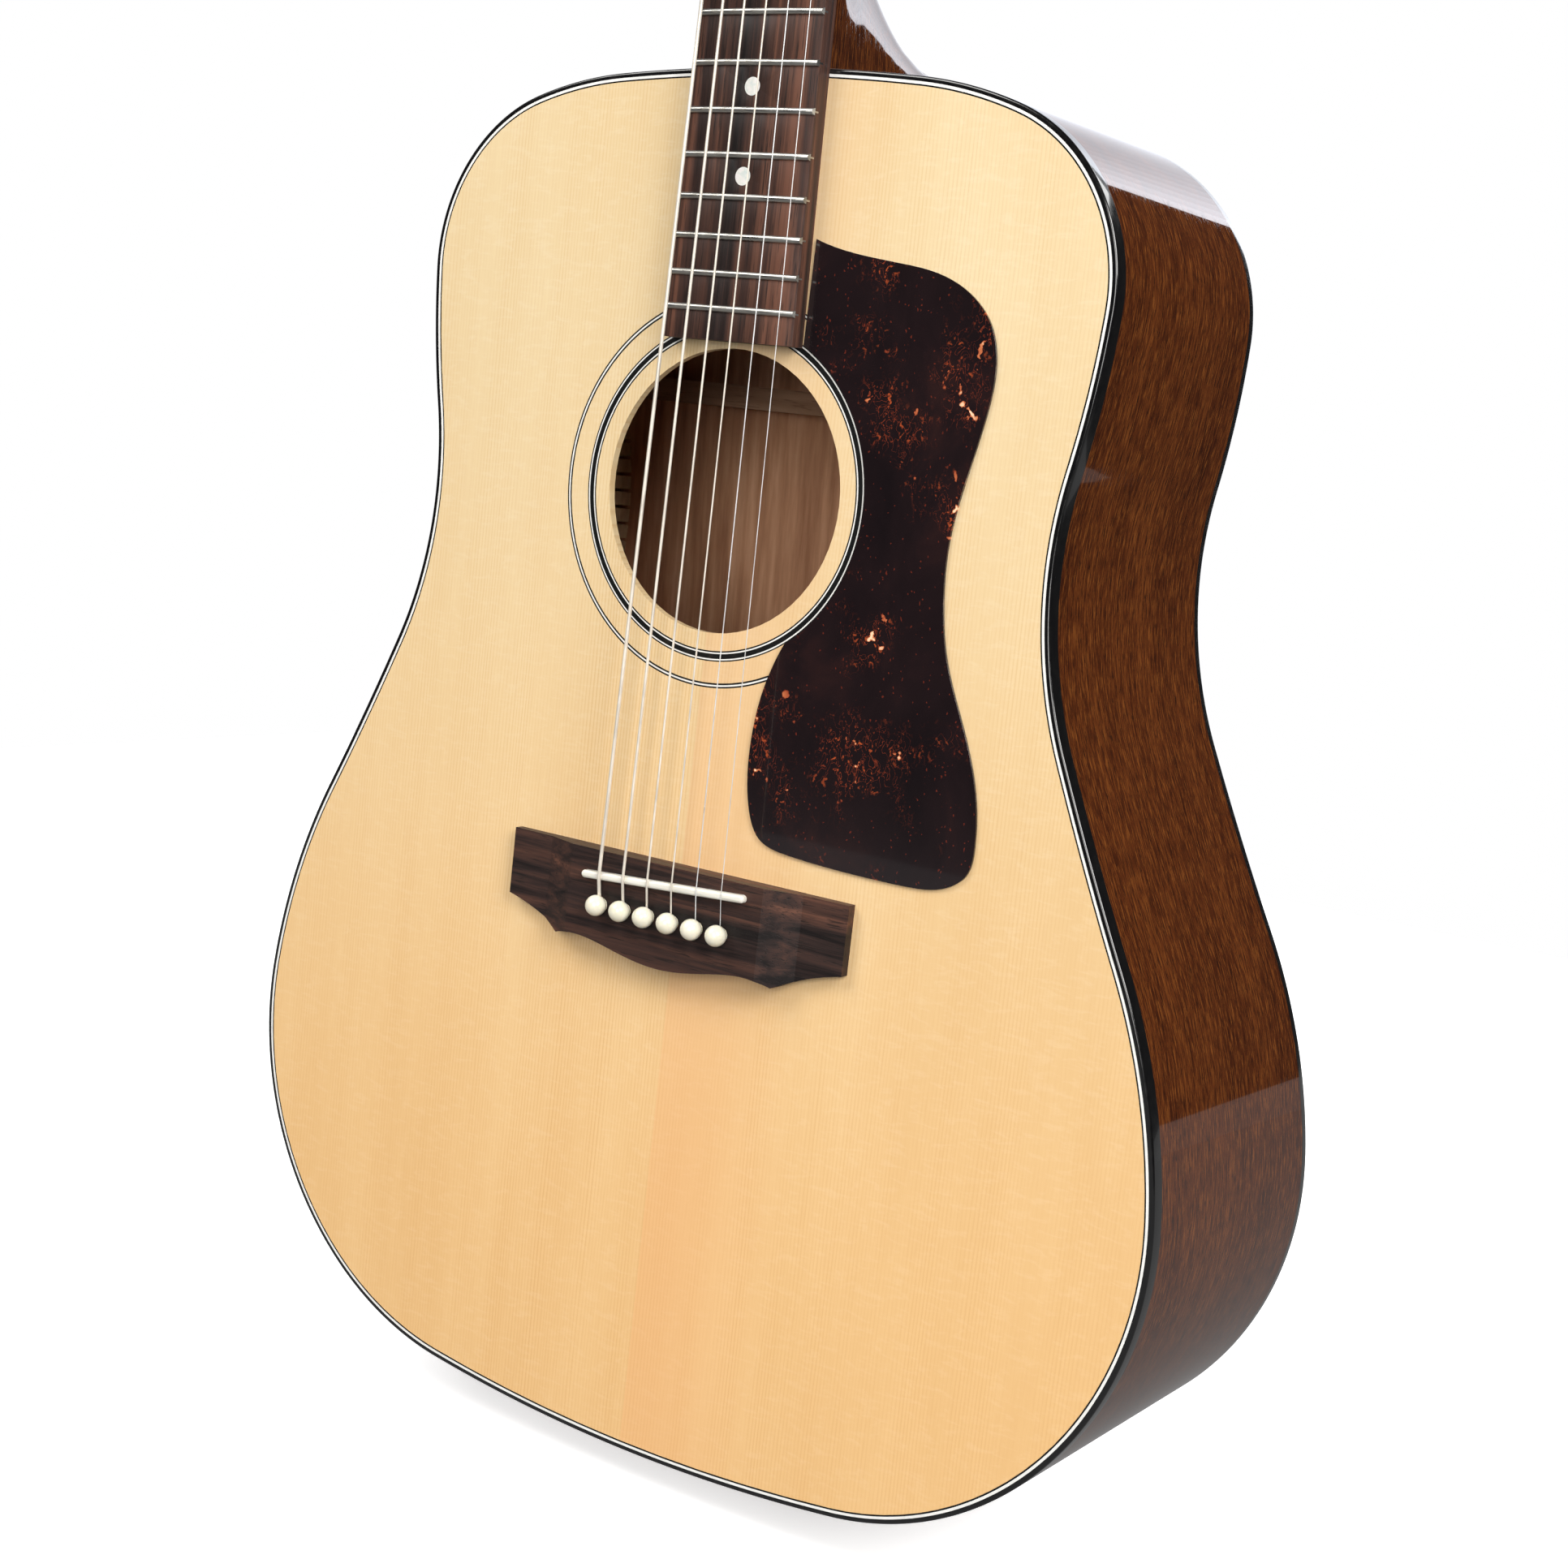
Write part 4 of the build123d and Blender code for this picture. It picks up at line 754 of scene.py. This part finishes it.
def neck_ring(z):
    """Half section at height z as (x, depth) from the fingerboard's edge round to the middle."""
    up_neck = z - body_top
    thinning = (shaft_depth_high - shaft_depth_low) * up_neck / (head_z - body_top)
    shaft_depth = (shaft_depth_low + thinning) * mm
    shaft_half = neck_half_width(z)
    if up_neck <= heel_foot_reach * mm:
        full = heel_depth
    elif up_neck < (heel_foot_reach + heel_sweep) * mm:
        full = heel_depth * (1 - math.sqrt((up_neck / mm - heel_foot_reach) / heel_sweep))
    else:
        full = 0.0
    total = max(shaft_depth, full)
    if full > 0 and abs(full - shaft_depth) < heel_into_shaft and full < heel_depth:
        total = smooth_max(shaft_depth, full, heel_into_shaft)
    ring = []
    for k in range(ring_size + 1):
        depth = total * math.sin(math.pi / 2 * k / ring_size)
        shaft = shaft_half * math.sqrt(max(0.0, 1 - (depth / shaft_depth) ** 2))
        in_heel = min(depth, heel_depth)
        heel = heel_half(in_heel) * math.sqrt(max(0.0, 1 - (up_neck / heel_reach(in_heel)) ** 2))
        edge = min(1.0, depth / edge_square_depth)
        half = shaft * (1 - edge) + smooth_max(shaft, heel, heel_side_blend) * edge
        if k == ring_size and full < heel_depth:
            half = 0.0
        ring.append((min(half, shaft_half + 0.2 * mm), depth))
    return ring


def head_half(v):
    """Half width of the headstock at a distance v from the nut."""
    if v >= head_flare:
        share = (v - head_flare) / (head_length - head_flare)
        return head_low_half + (head_high_half - head_low_half) * share
    t = v / head_flare
    eased = t * t * (3 - 2 * t)
    return nut_half * (1 - eased) + head_low_half * eased + 1.0 * mm * math.sin(math.pi * t) * (1 - t)


def head_point(u, v, w):
    """Place in the row's frame from the headstock's own axes: across, up and out of its face."""
    return (
        u,
        front + v * math.sin(head_tilt) - w * math.cos(head_tilt),
        head_z + v * math.cos(head_tilt) + w * math.sin(head_tilt),
    )


def crown_drop(u, v):
    """How far the headstock's rounded end falls back at a distance u from its middle."""
    run_in = min(1.0, max(0.0, (v - head_length + head_crown_run) / head_crown_run))
    return head_crown * run_in * (u / head_high_half) ** 2


def head_ring(v):
    blend_in = min(1.0, max(0.0, v / (26 * mm)))
    power = 2.0 + 14.0 * blend_in**1.5
    half, depth = head_half(v), head_thick + 0.5 * mm * (1 - blend_in)
    ring = []
    for k in range(ring_size + 1):
        a = math.pi / 2 * k / ring_size
        across = half * math.cos(a) ** (2 / power) if k < ring_size else 0.0
        ring.append((across, depth * math.sin(a) ** (2 / power)))
    return ring


rings = []
z = body_top - neck_into_body
while z < head_z - 3 * mm:
    rings.append([(x, front + depth, z) for x, depth in neck_ring(z)])
    z += 2.5 * mm if z < body_top + 120 * mm else 8 * mm
v = 3.0 * mm
heights = []
while v < head_length - 1 * mm:
    heights.append(v)
    v += 3.0 * mm if v < 40 * mm or v > head_length - 34 * mm else 10 * mm
for v in heights + [head_length]:
    rings.append([head_point(x, v - crown_drop(x, v), -depth) for x, depth in head_ring(v)])

verts = []
for ring in rings:
    verts += ring + [(-x, y, z) for x, y, z in reversed(ring[:-1])]
around = 2 * ring_size + 1
faces = []
for i in range(len(rings) - 1):
    for k in range(around):
        n = (k + 1) % around
        faces.append((i * around + k, i * around + n, (i + 1) * around + n, (i + 1) * around + k))
faces.append(tuple(range(around)))
faces.append(tuple((len(rings) - 1) * around + k for k in range(around)))
neck = new_piece("carved_neck", verts, faces)
tidy_mesh(neck, 2e-6, 40)
neck.data.materials.append(mahogany("mahogany_neck", (480, 480, 40), (1600, 1600, 180), tone=0.85))
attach(neck, "root")
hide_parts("neck")

# ---------------------------------------------------------------------------------------------
# Fingerboard, headplate and bridge: dark rosewood. The board and bridge are only oiled, so their long
# pores show; the headplate is filled and lacquered.
# ---------------------------------------------------------------------------------------------


def rosewood(name, streak, pore, gloss=0.0, tone=1.0):
    """Dark brown rosewood with near-black ink lines, reddish streaks and open pores."""
    material, tree, shader = finish(name, Roughness=0.48, Coat_Weight=gloss, Coat_Roughness=0.04)
    shader.inputs["Specular IOR Level"].default_value = 0.28
    broad = noise(tree, scaled(tree, [s * 0.22 for s in streak]), 3.0, 0.6, 0.8)
    fine = noise(tree, scaled(tree, streak, offset=(3, 1, 2)), 5.0, 0.65, 0.5)
    mixed = sums(tree, "MULTIPLY_ADD", broad, 0.55, sums(tree, "MULTIPLY", fine, 0.45))
    wood = ramp(tree, mixed, [
        (0.40, (0.0080 * tone, 0.0055 * tone, 0.0055 * tone)),
        (0.47, (0.0270 * tone, 0.0150 * tone, 0.0130 * tone)),
        (0.55, (0.0620 * tone, 0.0280 * tone, 0.0200 * tone)),
        (0.63, (0.1400 * tone, 0.0580 * tone, 0.0360 * tone)),
    ])
    pores = span(tree, noise(tree, scaled(tree, pore, offset=(5, 8, 2)), 2.0, 0.6), 0.58, 0.66)
    wood = blend(tree, sums(tree, "MULTIPLY", pores, 0.7), wood, (0.010, 0.007, 0.006, 1))
    tree.links.new(wood, shader.inputs["Base Color"])
    tree.links.new(span(tree, fine, 0.3, 0.7, 0.40, 0.58), shader.inputs["Roughness"])
    bump(tree, shader, sums(tree, "MULTIPLY_ADD", pores, -0.8, sums(tree, "MULTIPLY", fine, 0.4)), 0.35, 0.12)
    return material


board_finish = rosewood("rosewood_board", (340, 340, 5), (1500, 1500, 60))
repaint("fingerboard", board_finish, weld=True, round_mm=0.35, angle=50)

plate_finish = rosewood("rosewood_headplate", (150, 150, 6), (1300, 1300, 70), gloss=1.0, tone=0.8)
plate_thick = 1.6 * mm
rim_steps = 60
crown_steps = 8
outline = []
for k in range(rim_steps + 1):
    v = head_length * k / rim_steps
    outline.append((head_half(v), v - crown_drop(head_half(v), v)))
for k in range(1, crown_steps + 1):
    u = head_high_half * (1 - k / crown_steps)
    outline.append((u, head_length - crown_drop(u, head_length)))
outline = outline + [(-u, v) for u, v in reversed(outline[:-1])]
verts = [head_point(u, v, w) for w in (0.0, plate_thick) for u, v in outline]
count = len(outline)
faces = [tuple(range(count)), tuple(range(count, 2 * count))]
faces += [(k, (k + 1) % count, (k + 1) % count + count, k + count) for k in range(count)]
plate = new_piece("headstock_veneer", verts, faces)
tidy_mesh(plate, 1e-6, 30)
rounding = plate.modifiers.new("round", "BEVEL")
rounding.width, rounding.segments, rounding.limit_method = 0.4 * mm, 2, "ANGLE"
rounding.angle_limit = math.radians(60)
plate.data.materials.append(plate_finish)
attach(plate, "root")
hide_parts("headplate")

# ---------------------------------------------------------------------------------------------
# Frets: nickel-silver wire hammered into slots, crowned, their ends filed to a bevel and polished.
# ---------------------------------------------------------------------------------------------


def metal(name, bright, rough, brushed=(900, 900, 900)):
    """Bright metal with faint polishing marks and slightly uneven gloss."""
    material, tree, shader = finish(name, Metallic=1.0, Roughness=rough)
    marks = noise(tree, scaled(tree, brushed), 3.0, 0.6)
    dull = noise(tree, scaled(tree, (90, 90, 90)), 3.0)
    dark = tuple(channel * 0.82 for channel in bright)
    colour(tree, shader, dull, [(0.3, dark), (0.65, bright)])
    tree.links.new(span(tree, dull, 0.3, 0.7, rough * 0.75, rough * 1.4), shader.inputs["Roughness"])
    bump(tree, shader, marks, 0.06, 0.03)
    return material


repaint("frets", metal("fret_wire", (0.50, 0.49, 0.46), 0.34, (120, 900, 900)), weld=True)

# ---------------------------------------------------------------------------------------------
# Position markers: mother-of-pearl dots let into the board, with small plain dots along its edge.
# ---------------------------------------------------------------------------------------------
pearl_finish, tree, shader = finish("pearl", Roughness=0.18, Coat_Weight=0.5, Coat_Roughness=0.05)
cloud = noise(tree, scaled(tree, (260, 260, 420)), 3.0, 0.6, 1.5)
colour(tree, shader, cloud, [(0.3, (0.62, 0.68, 0.66)), (0.5, (0.80, 0.79, 0.74)), (0.7, (0.86, 0.80, 0.82))])
bump(tree, shader, cloud, 0.08, 0.1)
repaint("position_markers", pearl_finish)

# ---------------------------------------------------------------------------------------------
# Nut and saddle: bleached bone, sawn, shaped and polished; the nut is notched for the strings.
# ---------------------------------------------------------------------------------------------
bone_finish, tree, shader = finish("bone", Roughness=0.30, Coat_Weight=0.25, Coat_Roughness=0.1)
streaks = noise(tree, scaled(tree, (60, 700, 700)), 4.0, 0.6)
colour(tree, shader, streaks, [
    (0.3, (0.74, 0.70, 0.61)), (0.55, (0.84, 0.81, 0.73)), (0.8, (0.88, 0.86, 0.80))])
shader.inputs["Subsurface Weight"].default_value = 0.12
shader.inputs["Subsurface Radius"].default_value = (0.003, 0.002, 0.0012)
bump(tree, shader, streaks, 0.10, 0.05)
repaint("nut", bone_finish, weld=True)
repaint("saddle", bone_finish, weld=True)

# ---------------------------------------------------------------------------------------------
# Bridge: one block of rosewood, flat on the top, with thinned wings and a rounded belly, glued to the
# soundboard; the saddle sits in its slot and the pins in tapered holes behind it.
# ---------------------------------------------------------------------------------------------
bridge_finish = rosewood("rosewood_bridge", (9, 260, 260), (90, 1700, 1700), tone=1.12)
repaint("bridge", bridge_finish, weld=True, round_mm=0.5, angle=50)

# ---------------------------------------------------------------------------------------------
# Bridge pins: turned cream plastic with ball heads, pushed into the bridge to trap the strings' ends.
# ---------------------------------------------------------------------------------------------
pin_finish, tree, shader = finish("cream_plastic", Roughness=0.25, Coat_Weight=0.6, Coat_Roughness=0.05)
tone = noise(tree, scaled(tree, (160, 160, 160)), 3.0)
colour(tree, shader, tone, [(0.3, (0.80, 0.75, 0.58)), (0.7, (0.90, 0.86, 0.72))])
shader.inputs["Subsurface Weight"].default_value = 0.15
shader.inputs["Subsurface Radius"].default_value = (0.004, 0.003, 0.002)
bump(tree, shader, noise(tree, scaled(tree, (500, 500, 500)), 2.0), 0.04, 0.05)
for number in range(1, 7):
    repaint(f"bridge_pin_{number}", pin_finish, weld=True)

# ---------------------------------------------------------------------------------------------
# Pickguard: a thin plate of mottled tortoise plastic, cut to the rosette's curve, its edge bevelled
# and its face polished, stuck to the lacquer beside the sound hole.
# ---------------------------------------------------------------------------------------------
guard_finish, tree, shader = finish("tortoise", Roughness=0.16, Coat_Weight=0.7, Coat_Roughness=0.03)
cluster = span(tree, noise(tree, scaled(tree, (26, 26, 26), offset=(3, 0, 1)), 3.0, 0.6), 0.50, 0.68)
warp = add(tree, "ShaderNodeTexNoise", {"Vector": scaled(tree, (170, 0, 170)), "Scale": 1.0, "Detail": 3.0})
centred = {0: warp.outputs["Color"], 1: (0.5, 0.5, 0.5)}
swirl = add(tree, "ShaderNodeVectorMath", centred, operation="SUBTRACT")
swirl = add(tree, "ShaderNodeVectorMath", {0: swirl.outputs[0], "Scale": 3.2}, operation="SCALE")


def flecks(size, seed, radius, warped=1.0):
    """Bent spots, one in each cell of the given size, and each cell's own number for choosing a few."""
    place = scaled(tree, (1 / size, 0, 0.75 / size), offset=(seed, 0, seed))
    bent = add(tree, "ShaderNodeVectorMath", {0: swirl.outputs[0], "Scale": warped}, operation="SCALE")
    bent = add(tree, "ShaderNodeVectorMath", {0: place, 1: bent.outputs[0]}, operation="ADD").outputs[0]
    cells = add(tree, "ShaderNodeTexVoronoi", {"Vector": bent, "Scale": 1.0}, feature="F1")
    pick = add(tree, "ShaderNodeSeparateColor", {0: cells.outputs["Color"]}).outputs[0]
    return span(tree, cells.outputs["Distance"], radius * 0.4, radius, 1.0, 0.0), pick


base = ramp(tree, noise(tree, scaled(tree, (26, 26, 20)), 4.0, 0.6, 0.6), [
    (0.30, (0.006, 0.0035, 0.0045)), (0.55, (0.012, 0.006, 0.007)), (0.80, (0.030, 0.011, 0.010))])
speck, speck_pick = flecks(1.3 * mm, 4, 0.30)
specks = sums(tree, "MULTIPLY", speck, span(tree, speck_pick, 0.80, 0.86))
shell = blend(tree, sums(tree, "MULTIPLY", specks, 0.8), base, (0.16, 0.024, 0.012, 1))
curl, curl_pick = flecks(2.6 * mm, 9, 0.34, 1.5)
curls = sums(tree, "MULTIPLY", sums(tree, "MULTIPLY", curl, span(tree, curl_pick, 0.55, 0.62)), cluster)
shell = blend(tree, curls, shell, (0.42, 0.075, 0.022, 1))
thread = add(tree, "ShaderNodeTexNoise", {
    "Vector": scaled(tree, (300, 0, 190), offset=(5, 0, 2)), "Scale": 1.0, "Detail": 2.0, "Distortion": 1.2})
near_half = sums(tree, "ABSOLUTE", sums(tree, "SUBTRACT", thread.outputs["Fac"], 0.5))
threads = sums(tree, "MULTIPLY", span(tree, near_half, 0.004, 0.014, 0.75, 0.0), cluster)
shell = blend(tree, threads, shell, (0.30, 0.048, 0.018, 1))
chip, chip_pick = flecks(4.2 * mm, 2, 0.36, 0.9)
chips = sums(tree, "MULTIPLY", chip, sums(tree, "MULTIPLY", span(tree, chip_pick, 0.84, 0.87), cluster))
rim_colours = [(0.10, (0.30, 0.05, 0.02)), (0.45, (0.62, 0.20, 0.08)), (0.75, (0.95, 0.66, 0.42))]
shell = blend(tree, span(tree, chips, 0.02, 0.18), shell, ramp(tree, chips, rim_colours))
tree.links.new(shell, shader.inputs["Base Color"])
bump(tree, shader, noise(tree, scaled(tree, (30, 30, 30)), 2.0), 0.04, 0.2, "Coat Normal")
repaint("pickguard", guard_finish, weld=True, round_mm=0.4, angle=50)

# ---------------------------------------------------------------------------------------------
# Truss rod: a steel rod in a bore under the fingerboard with its adjusting nut inside the body.
# ---------------------------------------------------------------------------------------------
steel_finish = metal("plain_steel", (0.42, 0.42, 0.43), 0.36)
for node in ("truss_rod", "truss_rod_nut"):
    repaint(node, steel_finish)

# ---------------------------------------------------------------------------------------------
# Machine heads: nickel-plated back plates with bent lugs, worm shafts with oval buttons, posts with
# worm wheels, pressed-in bushings and small wood screws.
# ---------------------------------------------------------------------------------------------
nickel_finish = metal("nickel_plate", (0.76, 0.74, 0.70), 0.16)
for node in ("tuner_plates", "tuner_bushings", "tuner_screws"):
    repaint(node, nickel_finish, weld=True)
for number in range(1, 7):
    repaint(f"tuner_post_{number}", nickel_finish, weld=True)
    repaint(f"tuner_button_{number}", nickel_finish, weld=True)

# ---------------------------------------------------------------------------------------------
# Strap button: turned black plastic on a plain shank pushed into the end block.
# ---------------------------------------------------------------------------------------------
repaint("end_pin", black_finish, weld=True, round_mm=0.5)

# ---------------------------------------------------------------------------------------------
# Strings: two plain steel and four bronze-wound, held by their ball ends under the bridge plate, bent
# over saddle and nut and wound onto the posts.
# ---------------------------------------------------------------------------------------------
plain_steel = metal("plain_string", (0.86, 0.86, 0.86), 0.34)
wound_bronze = metal("wound_string", (0.86, 0.79, 0.69), 0.42)
for material, metallic in ((plain_steel, 0.45), (wound_bronze, 0.35)):
    material.node_tree.nodes["Principled BSDF"].inputs["Metallic"].default_value = metallic
for number in range(1, 7):
    repaint(f"string_{number}", plain_steel if number < 3 else wound_bronze, weld=True)
